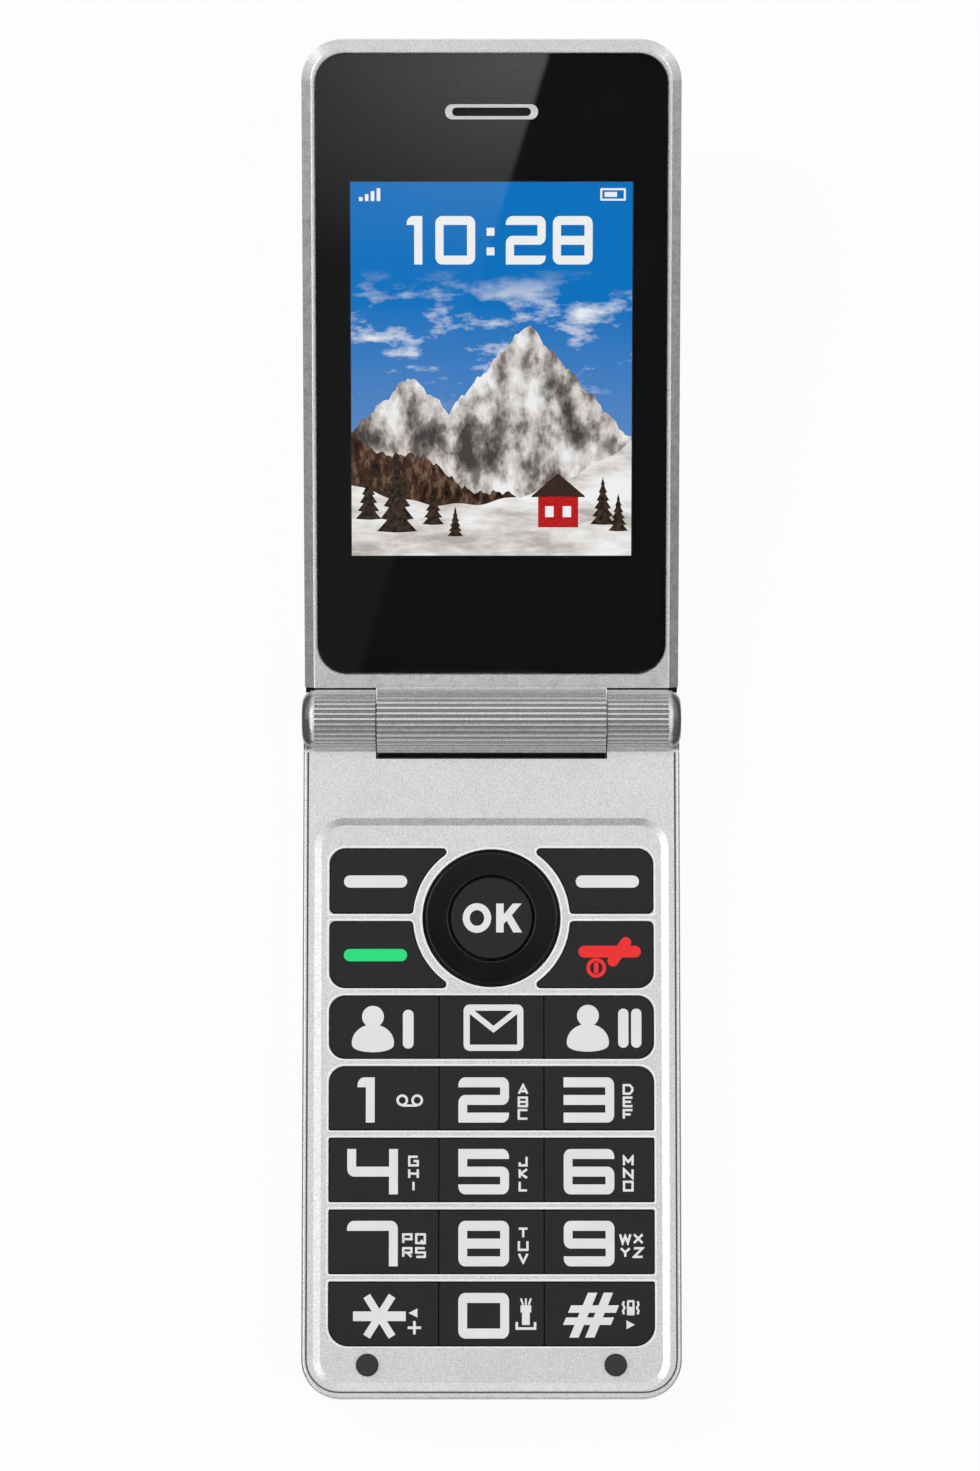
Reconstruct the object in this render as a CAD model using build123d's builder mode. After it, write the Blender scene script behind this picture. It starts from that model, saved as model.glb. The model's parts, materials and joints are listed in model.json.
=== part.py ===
"""Flip phone with a keypad base, a display lid and a barrel hinge between them.

The phone lies open on its back.  X is the width, +Y runs from the base towards the lid and +Z is up.
The origin is the middle of the base's flat back.  Distances along the base ("down") are measured
from the hinge axis towards the bottom end, and distances along the lid ("up") from the hinge axis
towards its free end.  The lid's own plane is lid_face: its local X is the width, its local Y runs up
the lid and its local Z leaves the inner face.
"""

import os
from math import cos, radians, sin

from build123d import *

os.makedirs("parts", exist_ok=True)

# ---------------------------------------------------------------- overall form
open_angle = 164.0              # from shut to the open stop
closed_gap = 0.5                # air between the deck and the lid when shut
end_radius = 6.2                # corners of the free ends, seen from above
wall = 1.3                      # moulded side walls
deck_edge_radius = 0.45
back_edge_radius = 2.0
lid_slope_width = 1.5           # sloping edge round the lid's inner face
lid_slope_depth = 1.05
lid_slope_round = 0.5
lid_narrower = 0.4              # the lid is this much narrower than the base
press_clearance = 0.05          # between a fixed piece and its seat
run_clearance = 0.05            # radial, between turning pieces
slide_clearance = 0.12          # between sliding pieces
fit_clearance = 0.12            # round a piece dropped into a well

# ---------------------------------------------------------------- hinge barrels
side_barrel_radius = 4.7
middle_barrel_radius = 5.1
side_barrel_length = 11.45
barrel_gap = 0.2                # between neighbouring barrel ends
barrel_overhang = 0.2           # the side barrels stand proud of the base's sides
barrel_end_radius = 2.2
trough_clearance = 0.95         # round the lid barrel, in the base
base_overhang = 3.2             # base behind the hinge axis
lid_start_gap = 0.3             # lid's lower edge clear of the side barrels
rib_count = 36                  # flutes round a barrel
rib_flute_radius = 0.27
rib_fade = 2.0                  # plain end of a side barrel
barrel_groove_width = 0.25      # groove in the deck at the foot of a side barrel
barrel_groove_depth = 0.4
web_drop = 0.5                  # web of the lid barrel, below the hinge axis

# ---------------------------------------------------------------- hinge works
can_radius = 2.7
can_length = 16.0
can_wall = 0.4
shaft_radius = 1.2
shaft_head_radius = 2.2
shaft_head_length = 5.0
cam_radius = 2.2
cam_length = 2.6
cam_setback = 0.2
spring_wire_radius = 0.25
spring_turns = 8
spring_gap = 0.05
bush_radius = 2.6
bush_bore_radius = 1.9
bush_length = 11.0
flex_x = 3.0                    # where the flex's roll begins
flex_thickness = 0.2
flex_width = 6.0
flex_roll_radius = 1.4
flex_tail = 4.0                 # flex under the lid's board
flex_side_room = 1.0            # bore beyond the flex's roll

# ---------------------------------------------------------------- keypad panel
recess_depth = 0.45             # the panel lies below the deck
recess_slope = 1.1              # width of the sloping wall round the panel
recess_top = 15.3               # down from the axis, at the deck
recess_side_margin = 1.8        # deck left beside the panel
recess_bottom_margin = 1.5      # deck left below the panel
recess_radius = 4.6
trim_groove_side = 0.6          # groove of the deck, in from the sides
trim_groove_end = 1.0           # and in from the bottom end
trim_groove_width = 0.28
trim_groove_depth = 0.4
panel_thickness = 1.3
panel_top_margin = 4.8          # recess edge to the first keys
keypad_bottom_margin = 8.28     # last keys to the bottom end
keypad_side_margin = 4.25       # keys to the base's sides
key_field_width = 49.9
column_edge = 8.1               # x of the joint between two keys in a row
soft_key_height = 9.9
call_key_height = 10.1
contact_key_height = 9.5
digit_row_count = 4
row_rib = 1.42                  # panel left between two rows
key_gap = 0.12                  # between neighbours in a row
key_clearance = 0.15            # round a key, in its opening
key_rise = 0.2                  # key face above the panel
pad_rise = 0.1                  # raised pad above the key face
pad_inset = 0.7                 # pad inside the key's edge
key_travel = 0.35
key_rest_gap = 0.05             # left under a pressed key
flange_lip = 0.4                # flange reaches under the panel
flange_thickness = 0.6
flange_gap = 0.05
key_edge_radius = 0.1
ok_edge_radius = 0.2
sharp_corner = 0.3
ring_side_corner = 0.45         # corners of the side keys at the ring
joint_corner = 0.9              # corners of the side keys that face each other
soft_corner = 2.5
bottom_corner = 3.1
pad_corner = 1.8

# ---------------------------------------------------------------- navigation keys
nav_ring_radius = 10.4
nav_hole_clearance = 0.3        # round the ring, in the panel
nav_rib = 1.6                   # panel left between the ring and the keys beside it
ok_radius = 6.3
ok_clearance = 0.25
nav_flange_lip = 0.6
nav_flange_thickness = 0.3
nav_rock_room = 0.37            # below the rocking flange
nav_ring_wall = 1.5             # outside the pivot plate's hollow
nav_plate_gap = 0.4             # round the pivot plate
nav_plate_width = 1.4
nav_plate_room = 0.3            # above the pivot plate
ring_outer_round = 0.5
ring_inner_round = 0.4

# ---------------------------------------------------------------- bumpers
bumper_radius = 1.7
bumper_x = 19.06
bumper_end_gap = 5.3            # bumper centres to the bottom end
bumper_rise = 0.35              # above the deck
bumper_seat = 0.95              # depth of the hole in the panel

# ---------------------------------------------------------------- battery and its cover
cover_floor = 1.0
cover_wall = 1.1
cover_height = 3.0
battery_width = 40.0
battery_length = 48.0
battery_thickness = 4.2
battery_edge_radius = 1.05
battery_end_room = 1.3          # for the contacts
battery_to_seam = 4.0
contact_count = 4
contact_pitch = 2.5
contact_width = 1.0
contact_foot = 1.0              # contacts start above the battery's underside
sim_width = 15.0
sim_length = 11.0
sim_height = 1.5
sim_setback = 7.9               # bottom end to the card socket
sim_to_battery = 1.1
sim_card_slot = 0.9
sim_side_wall = 1.0
side_hollow_wall = 1.2          # plastic left beside the battery
side_hollow_floor = 2.0
side_hollow_end = 3.9           # the hollows stop this far short of the cover's seam

# ---------------------------------------------------------------- boards and keypad works
partition = 0.56                # between the battery and the board
board_thickness = 0.8
board_side_gap = 0.3
board_start_gap = 1.9           # cavity end to the board
dome_sheet_thickness = 0.1
dome_radius = 2.2
dome_height = 0.25
nub_radius = 0.9
nub_gap = 0.05
nub_height = 0.25
mat_thickness = 0.35
mat_margin = 0.5
mat_rim = 0.4
side_dome_shift = 1.5           # domes of the side keys, away from the ring
screw_radius = 0.8
screw_head_radius = 1.5
screw_head_height = 1.1
screw_drive_radius = 0.5
screw_drive_depth = 0.5
screw_floor = 1.6               # plastic under a screw's head
screw_bite = 0.4                # bore beyond the screw's end
boss_radius = 2.0
screw_side_gap = 5.0            # screw centres to the sides
top_screw_gap = 4.2             # board end to the upper screws
bottom_screw_gap = 4.7          # bottom end to the lower screws

# ---------------------------------------------------------------- sound, vibration and charging
speaker_width = 15.0
speaker_length = 11.0
speaker_height = 3.6
speaker_corner = 2.0
speaker_border = 1.5
speaker_dish = 0.4
speaker_x = -12.0
speaker_seam_gap = 5.8
speaker_floor = 1.2
sound_hole_radius = 0.5
sound_hole_pitch = 2.2
sound_hole_columns = 5
sound_hole_rows = 3
motor_radius = 2.0
motor_length = 8.0
motor_x = 6.0
motor_floor = 1.4
motor_end_room = 1.5
axle_radius = 0.4
weight_gap = 0.4
weight_radius = 1.8
weight_length = 3.0
microphone_x = 10.0
microphone_radius = 2.0
microphone_height = 1.2
usb_width = 7.5
usb_height = 2.6
usb_length = 5.4
usb_wall = 0.3
usb_setback = 0.4
usb_tongue = 0.36
usb_tongue_setback = 1.0

# ---------------------------------------------------------------- lid and display
window_side_margin = 2.0        # rim beside the window
window_start_margin = 2.2
window_end_margin = 2.0
window_radius = 4.6
window_inset = 0.1              # below the inner face
window_thickness = 0.95
mask_thickness = 0.15
plate_thickness = 0.85
active_width = 43.2             # lit area of the display
active_height = 57.6
active_start = 25.6             # up from the axis
active_margin = 0.2             # mask opening outside the lit area
lcd_side_border = 2.4
lcd_end_border = 5.0
lcd_thickness = 1.8
tray_wall = 0.8
tray_floor = 0.4
lid_split = 3.65                # inner face to the joint of the two lid shells
lid_back_floor = 1.2
lid_board_thickness = 0.8
lid_board_gap = 0.3
lid_board_side = 3.0
lid_board_corner = 1.0
standoff_radius = 0.8
standoff_side = 2.0
standoff_end = 12.0
component_room = 1.65           # between the lid's board and its back
lid_screw_start = 4.9           # lower screws, up from the lid's edge
lid_screw_end = 5.2             # upper screws, down from the free end
lid_screw_side = 5.0
lid_screw_head = 0.5
lid_screw_floor = 0.4           # plastic under the blind bores

# ---------------------------------------------------------------- earpiece, camera and magnet
ear_gap = 4.9                   # display tray to the middle of the earpiece
ear_end_gap = 10.9              # middle of the earpiece to the lid's free end
ear_width = 14.2
ear_height = 2.3
ear_rim = 0.5
ear_end_rim = 1.1               # the rim is wider at its round ends
ear_rise = 0.02
mesh_clearance = 0.02
mesh_thickness = 0.2
receiver_width = 15.0
receiver_height = 6.0
receiver_corner = 1.5
receiver_shift = 0.5
camera_up = 17.4
camera_bezel_radius = 4.2
camera_bezel_width = 1.3
camera_side = 8.5
camera_depth = 0.9
camera_barrel_radius = 2.6
camera_lens_inset = 0.1
camera_lens_depth = 0.5
camera_barrel_gap = 0.15
flash_x = 8.6
flash_radius = 1.6
flash_inset = 0.05
magnet_width = 6.0
magnet_height = 3.0
magnet_depth = 1.2
magnet_x = -18.5
magnet_end_gap = 8.3

# ---------------------------------------------------------------- places worked out from the sizes
# the display and the earpiece set how far the lid reaches from the hinge axis, and the base matches it
active_up = active_start + active_height / 2
lcd_width = active_width + 2 * lcd_side_border
lcd_height = active_height + 2 * lcd_end_border
ear_up = active_up + lcd_height / 2 + tray_wall + ear_gap
reach = ear_up + ear_end_gap
base_width = key_field_width + 2 * keypad_side_margin
lid_width = base_width - lid_narrower

# keypad rows, each as (start, end) down from the hinge axis; the digit rows share what the others leave
keypad_top = recess_top + panel_top_margin
soft_row = (keypad_top, keypad_top + soft_key_height)
call_row = (soft_row[1] + row_rib, soft_row[1] + row_rib + call_key_height)
contact_row = (call_row[1] + row_rib, call_row[1] + row_rib + contact_key_height)
digit_pitch = (reach - keypad_bottom_margin - contact_row[1]) / digit_row_count
digit_rows = []
for index in range(digit_row_count):
    row_end = contact_row[1] + (index + 1) * digit_pitch
    digit_rows.append((row_end - digit_pitch + row_rib, row_end))

# heights in the base
battery_bottom = cover_floor + fit_clearance
battery_top = battery_bottom + battery_thickness
battery_ceiling = battery_top + fit_clearance
parting = battery_ceiling + partition
board_top = parting + board_thickness
sheet_top = board_top + dome_sheet_thickness
dome_top = sheet_top + dome_height
mat_bottom = dome_top + nub_gap + nub_height
mat_top = mat_bottom + mat_thickness
flange_bottom = mat_top + key_rest_gap + key_travel
flange_top = flange_bottom + flange_thickness
panel_bottom = flange_top + flange_gap
panel_top = panel_bottom + panel_thickness
base_depth = panel_top + recess_depth
key_face = panel_top + key_rise
screw_seat = cover_floor + slide_clearance + screw_floor
motor_z = motor_floor + motor_radius
usb_bottom = parting - usb_height

# the hinge axis and the lid's planes
hinge_z = base_depth + closed_gap / 2
hinge_y = reach / 2
lid_tilt = 180 - open_angle
lid_direction = (0, cos(radians(lid_tilt)), sin(radians(lid_tilt)))
lid_normal = (0, -sin(radians(lid_tilt)), cos(radians(lid_tilt)))
lid_face = Plane(origin=(0, hinge_y, hinge_z), x_dir=(1, 0, 0), z_dir=lid_normal)
lid_side = Plane(origin=(0, hinge_y, hinge_z), x_dir=lid_direction, z_dir=(1, 0, 0))

# levels in the lid, along lid_face's normal
lid_inner = -closed_gap / 2
window_bottom = lid_inner - window_inset - window_thickness
mask_bottom = window_bottom - mask_thickness
plate_bottom = mask_bottom - plate_thickness
lcd_top = mask_bottom - press_clearance
lcd_bottom = lcd_top - lcd_thickness
tray_bottom = lcd_bottom - tray_floor
lid_board_top = tray_bottom - lid_board_gap
lid_board_bottom = lid_board_top - lid_board_thickness
lid_floor = lid_board_bottom - component_room
lid_outer = lid_floor - lid_back_floor
lid_split_level = lid_inner - lid_split
lid_screw_seat = mask_bottom - lid_screw_head - press_clearance
receiver_bottom = lid_board_top + press_clearance

# places along the lid
lid_start = side_barrel_radius + lid_start_gap
window_start = lid_start + window_start_margin
window_end = reach - window_end_margin
window_width = lid_width - 2 * window_side_margin
lid_screw_ups = (lid_start + lid_screw_start, reach - lid_screw_end)
lid_screw_x = lid_width / 2 - lid_screw_side
lid_board_start = lid_screw_ups[0] + boss_radius + board_side_gap
lid_board_end = lid_screw_ups[1] - boss_radius - board_side_gap
magnet_up = reach - magnet_end_gap

# places along the base
base_end = hinge_y - reach
base_back = hinge_y + base_overhang
trough_radius = middle_barrel_radius + trough_clearance
side_barrel_end = base_width / 2 + barrel_overhang
side_barrel_start = side_barrel_end - side_barrel_length
middle_barrel_half = side_barrel_start - barrel_gap
cavity_back = hinge_y - trough_radius - wall
board_back = cavity_back - board_start_gap
screw_ys = (board_back - top_screw_gap, base_end + bottom_screw_gap)
screw_x = base_width / 2 - screw_side_gap
bumper_y = base_end + bumper_end_gap
nav_y = hinge_y - (soft_row[0] + call_row[1]) / 2
nav_hole_radius = nav_ring_radius + nav_hole_clearance
nav_arc_radius = nav_hole_radius + nav_rib
nav_inner_radius = ok_radius + ok_clearance
nav_flange_bottom = mat_top + nav_rock_room
nav_flange_top = nav_flange_bottom + nav_flange_thickness
sim_y = base_end + sim_setback + sim_length / 2
battery_y = sim_y + sim_length / 2 + sim_to_battery + battery_length / 2
seam_y = battery_y + battery_length / 2 + battery_to_seam
speaker_y = seam_y + speaker_seam_gap + speaker_length / 2
motor_y = speaker_y
microphone_y = base_end + wall + press_clearance + microphone_radius
microphone_z = board_top + microphone_height / 2
mat_low_y = hinge_y - digit_rows[-1][1] - mat_margin
mat_high_y = hinge_y - keypad_top + mat_margin
mat_half = key_field_width / 2 + mat_margin

# places along the hinge axis
can_start = -middle_barrel_half + 2 * press_clearance
can_end = can_start + can_length
bush_start = middle_barrel_half - bush_length / 2
bush_end = bush_start + bush_length
shaft_start = -side_barrel_start - shaft_head_length


# ---------------------------------------------------------------- shared helpers
def save(piece, name):
    """Label a finished piece and write it."""
    piece.part.label = name
    export_step(piece.part, f"parts/{name}.step")


def open_end(width, hinge_side, free_side, radius):
    """Outline with square corners at the hinge side and round ones at the free side."""
    with BuildSketch(Plane.XY, mode=Mode.PRIVATE) as outline:
        with Locations((0, (hinge_side + free_side) / 2)):
            Rectangle(width, abs(free_side - hinge_side))
        order = 0 if free_side < hinge_side else -1
        fillet(outline.vertices().group_by(Axis.Y)[order], radius)
    return outline.sketch


def round_corners(x_low, x_high, y_low, y_high, radii):
    """Rectangle with its own radius at each corner: low left, low right, high left, high right."""
    corners = [(x_low, y_low), (x_high, y_low), (x_low, y_high), (x_high, y_high)]
    with BuildSketch(Plane.XY, mode=Mode.PRIVATE) as outline:
        with Locations(((x_low + x_high) / 2, (y_low + y_high) / 2)):
            Rectangle(x_high - x_low, y_high - y_low)
        for corner, radius in zip(corners, radii):
            fillet(outline.vertices().sort_by_distance(corner)[0], radius)
    return outline.sketch


def base_box(x_low, x_high, y_low, y_high, z_low, z_high, mode=Mode.ADD):
    """Box between two corners, in the base's frame."""
    centre = ((x_low + x_high) / 2, (y_low + y_high) / 2, (z_low + z_high) / 2)
    with Locations(centre):
        Box(x_high - x_low, y_high - y_low, z_high - z_low, mode=mode)


def upright(x, y, z_low, z_high, radius, mode=Mode.ADD):
    """Upright cylinder between two heights of the base."""
    with Locations((x, y, z_low)):
        Cylinder(radius, z_high - z_low, align=(Align.CENTER, Align.CENTER, Align.MIN), mode=mode)


def lid_box(x_low, x_high, up_low, up_high, low, high, mode=Mode.ADD):
    """Box in the lid's own plane."""
    centre = Location(((x_low + x_high) / 2, (up_low + up_high) / 2, (low + high) / 2))
    with Locations(lid_face.location * centre):
        Box(x_high - x_low, up_high - up_low, high - low, mode=mode)


def lid_post(x, up, low, high, radius, mode=Mode.ADD):
    """Cylinder across the lid, between two of its levels."""
    with Locations(lid_face.location * Location((x, up, low))):
        Cylinder(radius, high - low, align=(Align.CENTER, Align.CENTER, Align.MIN), mode=mode)


def crosswise(x_low, x_high, y, z, radius, mode=Mode.ADD):
    """Cylinder along X."""
    with Locations(Location(((x_low + x_high) / 2, y, z), (0, 90, 0))):
        Cylinder(radius, x_high - x_low, mode=mode)


def on_axis(x_low, x_high, radius, mode=Mode.ADD):
    """Cylinder along the hinge axis."""
    crosswise(x_low, x_high, hinge_y, hinge_z, radius, mode)


def fluted_barrel(x_low, x_high, radius, flute_low, flute_high, round_low, round_high):
    """Barrel on the hinge axis, with rounded ends and long flutes between two places."""
    with BuildPart() as barrel:
        on_axis(x_low, x_high, radius)
        rims = barrel.edges().filter_by(GeomType.CIRCLE).sort_by(Axis.X)
        if round_low > 0:
            fillet(rims[0], round_low)
        if round_high > 0:
            fillet(rims[-1], round_high)
        with BuildSketch(Plane.YZ.offset(flute_low)):
            with Locations((hinge_y, hinge_z)):
                with PolarLocations(radius, rib_count):
                    Circle(rib_flute_radius)
        extrude(amount=flute_high - flute_low, mode=Mode.SUBTRACT)
    return barrel.part


def mirrored(low, high, side):
    """Span between two distances on one side of the middle, lowest first."""
    return sorted((side * low, side * high))


# ---------------------------------------------------------------- outlines of the keys
# straight rows with the radii of their outer corners: (row, low corners, high corners)
straight_rows = [(contact_row, soft_corner, soft_corner)]
for index, digit_row in enumerate(digit_rows):
    low_radius = bottom_corner if index == digit_row_count - 1 else sharp_corner
    high_radius = soft_corner if index == 0 else sharp_corner
    straight_rows.append((digit_row, low_radius, high_radius))

# rows beside the ring, in the same form
ring_rows = [(soft_row, joint_corner, soft_corner), (call_row, soft_corner, joint_corner)]


def side_key_outline(side, row, grow, corner_low, corner_high):
    """Key beside the navigation ring, its inner end cut by an arc round the ring."""
    outer = key_field_width / 2 + grow
    y_low = hinge_y - row[1] - grow
    y_high = hinge_y - row[0] + grow
    radii = (corner_low, sharp_corner, corner_high, sharp_corner)
    with BuildSketch(Plane.XY, mode=Mode.PRIVATE) as outline:
        add(round_corners(-outer, -sharp_corner, y_low, y_high, radii))
        with Locations((0, nav_y)):
            Circle(nav_arc_radius - grow, mode=Mode.SUBTRACT)
        inner_ends = outline.vertices().sort_by_distance((0, nav_y, 0))[:2]
        fillet(inner_ends, max(ring_side_corner + grow, key_edge_radius))
        if side > 0:
            mirror(about=Plane.YZ, mode=Mode.REPLACE)
    return outline.sketch


def key_span(column, grow):
    """Left and right edges of a key in a straight row; column is -1, 0 or 1."""
    outer = key_field_width / 2 + grow
    near = column_edge + key_gap / 2
    far = column_edge - key_gap / 2
    return {-1: (-outer, -near), 0: (-far, far), 1: (near, outer)}[column]


def row_key_outline(column, row, grow, corner_low, corner_high):
    """Key of a straight row, with large corners only where it ends the row."""
    x_low, x_high = key_span(column, grow)
    radii = (
        corner_low if column < 0 else sharp_corner,
        corner_low if column > 0 else sharp_corner,
        corner_high if column < 0 else sharp_corner,
        corner_high if column > 0 else sharp_corner,
    )
    return round_corners(x_low, x_high, hinge_y - row[1] - grow, hinge_y - row[0] + grow, radii)


def row_opening(row, grow, corner_low, corner_high):
    """Opening of a whole row of keys."""
    half = key_field_width / 2 + grow
    radii = (corner_low, corner_low, corner_high, corner_high)
    return round_corners(-half, half, hinge_y - row[1] - grow, hinge_y - row[0] + grow, radii)


# ---------------------------------------------------------------- base shells
def base_back_form(height):
    """The base's rounded back, up to a height."""
    with BuildPart() as form:
        with BuildSketch(Plane.XY):
            add(open_end(base_width, base_back, base_end, end_radius))
        extrude(amount=height)
        fillet(form.faces().sort_by(Axis.Z)[0].edges(), back_edge_radius)
    return form.part


def key_openings():
    """Openings of the keys and the ring, seen from above."""
    with BuildSketch(Plane.XY, mode=Mode.PRIVATE) as openings:
        for row, corner_low, corner_high in ring_rows:
            for side in (-1, 1):
                add(side_key_outline(side, row, key_clearance, corner_low, corner_high))
        for row, corner_low, corner_high in straight_rows:
            add(row_opening(row, key_clearance, corner_low, corner_high))
        with Locations((0, nav_y)):
            Circle(nav_hole_radius)
    return openings.sketch


def side_barrel(side):
    """One of the base's barrels, plain and rounded at its outer end."""
    low, high = mirrored(side_barrel_start, side_barrel_end, side)
    if side < 0:
        return fluted_barrel(low, high, side_barrel_radius, low + rib_fade, high, barrel_end_radius, 0)
    return fluted_barrel(low, high, side_barrel_radius, low, high - rib_fade, 0, barrel_end_radius)


def make_base_front_housing():
    with BuildPart() as housing:
        with BuildSketch(Plane.XY.offset(parting)):
            add(open_end(base_width, base_back, base_end, end_radius))
        extrude(amount=base_depth - parting)
        top_edges = housing.faces().sort_by(Axis.Z)[-1].edges()
        hinge_edge = top_edges.sort_by(Axis.Y)[-1]
        fillet([edge for edge in top_edges if edge != hinge_edge], deck_edge_radius)

        # groove that follows the deck's edge
        with BuildSketch(Plane.XY.offset(base_depth - trim_groove_depth)):
            for grow, mode in ((0, Mode.ADD), (trim_groove_width, Mode.SUBTRACT)):
                side, end = trim_groove_side + grow, trim_groove_end + grow
                add(open_end(base_width - 2 * side, base_back, base_end + end, end_radius - end), mode=mode)
        extrude(amount=trim_groove_depth, mode=Mode.SUBTRACT)

        # room for the board and the key works
        with BuildSketch(Plane.XY.offset(parting)):
            add(open_end(base_width - 2 * wall, cavity_back, base_end + wall, end_radius - wall))
        extrude(amount=panel_bottom - parting, mode=Mode.SUBTRACT)

        # recessed panel with a sloping wall
        for level, shrink in ((panel_top, recess_slope), (base_depth, 0)):
            half = base_width / 2 - recess_side_margin - shrink
            y_low = base_end + recess_bottom_margin + shrink
            y_high = hinge_y - recess_top - shrink
            with BuildSketch(Plane.XY.offset(level)):
                add(round_corners(-half, half, y_low, y_high, (recess_radius - shrink,) * 4))
        loft(mode=Mode.SUBTRACT)
        with BuildSketch(Plane.XY.offset(panel_bottom)):
            add(key_openings())
        extrude(amount=panel_thickness, mode=Mode.SUBTRACT)

        # side barrels with a groove at their feet, then the trough of the lid's barrel
        for side in (-1, 1):
            foot = hinge_y - side_barrel_radius
            x_low, x_high = mirrored(side_barrel_start, base_width / 2, side)
            base_box(x_low, x_high, foot - barrel_groove_width, foot + barrel_groove_width / 2,
                     base_depth - barrel_groove_depth, base_depth, mode=Mode.SUBTRACT)
            add(side_barrel(side))
        on_axis(-side_barrel_start, side_barrel_start, trough_radius, mode=Mode.SUBTRACT)

        # seats of the hinge shaft's head and of the bush
        head_seat = shaft_head_radius + press_clearance
        on_axis(shaft_start - press_clearance, -side_barrel_start, head_seat, mode=Mode.SUBTRACT)
        bush_seat = bush_radius + press_clearance
        on_axis(side_barrel_start, bush_end + press_clearance, bush_seat, mode=Mode.SUBTRACT)

        # screw bosses
        for y in screw_ys:
            for x in (-screw_x, screw_x):
                upright(x, y, board_top, panel_bottom, boss_radius)
                bore = screw_radius + press_clearance
                upright(x, y, board_top, panel_bottom + screw_bite, bore, mode=Mode.SUBTRACT)

        # bumper seats
        for x in (-bumper_x, bumper_x):
            seat_radius = bumper_radius + press_clearance
            upright(x, bumper_y, panel_top - bumper_seat, base_depth, seat_radius, mode=Mode.SUBTRACT)

        # microphone hole in the end wall
        with Locations(Location((microphone_x, base_end + wall / 2, microphone_z), (90, 0, 0))):
            Cylinder(sound_hole_radius, wall * 2, mode=Mode.SUBTRACT)
    save(housing, "base_front_housing")


def make_base_back_housing():
    step = cover_height + slide_clearance
    inset = cover_wall + slide_clearance
    beyond = base_width
    with BuildPart() as housing:
        add(base_back_form(parting))

        # step that the battery cover fills
        seam = seam_y + slide_clearance
        base_box(-beyond, beyond, base_end - wall, seam, -wall, step, mode=Mode.SUBTRACT)
        with BuildSketch(Plane.XY.offset(cover_floor + slide_clearance)):
            add(open_end(base_width - 2 * inset, seam, base_end + inset, end_radius - inset))
        extrude(amount=cover_height - cover_floor)

        # wells of the battery with its contacts, and of the card socket
        half = battery_width / 2 + fit_clearance
        y_low = battery_y - battery_length / 2 - fit_clearance
        y_high = battery_y + battery_length / 2 + battery_end_room
        base_box(-half, half, y_low, y_high, 0, battery_ceiling, mode=Mode.SUBTRACT)
        card_half = sim_width / 2 + fit_clearance
        card_reach = sim_length / 2 + fit_clearance
        card_low = sim_y - card_reach
        card_high = sim_y + card_reach
        base_box(-card_half, card_half, card_low, card_high, 0, battery_ceiling, mode=Mode.SUBTRACT)

        # hollows beside the battery, open to the board
        near = battery_width / 2 + side_hollow_wall
        away = base_width / 2 - inset - wall
        for side in (-1, 1):
            low, high = mirrored(near, away, side)
            hollow_end = seam_y - side_hollow_end
            base_box(low, high, y_low, hollow_end, side_hollow_floor, parting, mode=Mode.SUBTRACT)

        # loudspeaker well and its sound holes
        x_reach = speaker_width / 2 + fit_clearance
        y_reach = speaker_length / 2 + fit_clearance
        y_low = speaker_y - y_reach
        y_high = speaker_y + y_reach
        x_low = speaker_x - x_reach
        x_high = speaker_x + x_reach
        base_box(x_low, x_high, y_low, y_high, speaker_floor, parting, mode=Mode.SUBTRACT)
        with Locations((speaker_x, speaker_y, 0)):
            with GridLocations(sound_hole_pitch, sound_hole_pitch, sound_hole_columns, sound_hole_rows):
                Cylinder(sound_hole_radius, speaker_floor * 2, mode=Mode.SUBTRACT)

        # vibration motor well
        x_high = motor_x + motor_length + weight_gap + weight_length + motor_end_room
        y_low = motor_y - motor_radius - fit_clearance
        y_high = motor_y + motor_radius + fit_clearance
        base_box(motor_x - fit_clearance, x_high, y_low, y_high, motor_floor, parting, mode=Mode.SUBTRACT)

        # trough of the lid's barrel
        on_axis(-side_barrel_start, side_barrel_start, trough_radius, mode=Mode.SUBTRACT)

        # screw holes, counterbored from the back
        for y in screw_ys:
            for x in (-screw_x, screw_x):
                upright(x, y, 0, parting, screw_radius + slide_clearance, mode=Mode.SUBTRACT)
                upright(x, y, 0, screw_seat, screw_head_radius + slide_clearance, mode=Mode.SUBTRACT)

        # charging socket opening
        half = usb_width / 2 + fit_clearance
        y_high = base_end + usb_setback + usb_length + fit_clearance
        z_low = usb_bottom - fit_clearance
        base_box(-half, half, base_end - wall, y_high, z_low, parting, mode=Mode.SUBTRACT)
    save(housing, "base_back_housing")


def make_battery_cover():
    beyond = base_width
    with BuildPart() as cover:
        add(base_back_form(cover_height))
        base_box(-beyond, beyond, seam_y, base_back + wall, -wall, cover_height + wall, mode=Mode.SUBTRACT)
        with BuildSketch(Plane.XY.offset(cover_floor)):
            inner_width = base_width - 2 * cover_wall
            add(open_end(inner_width, seam_y, base_end + cover_wall, end_radius - cover_wall))
        extrude(amount=cover_height, mode=Mode.SUBTRACT)
    save(cover, "battery_cover")


# ---------------------------------------------------------------- works inside the base
def make_battery():
    low = battery_y - battery_length / 2
    high = battery_y + battery_length / 2
    with BuildPart() as battery:
        base_box(-battery_width / 2, battery_width / 2, low, high, battery_bottom, battery_top)
        fillet(battery.edges().filter_by(Axis.Y), battery_edge_radius)
    save(battery, "battery")

    with BuildPart() as contacts:
        low = high + press_clearance
        high = high + battery_end_room - press_clearance
        for index in range(contact_count):
            x_low = (index - (contact_count - 1) / 2) * contact_pitch - contact_width / 2
            z_low = battery_bottom + contact_foot
            base_box(x_low, x_low + contact_width, low, high, z_low, battery_ceiling)
    save(contacts, "battery_contacts")


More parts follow.
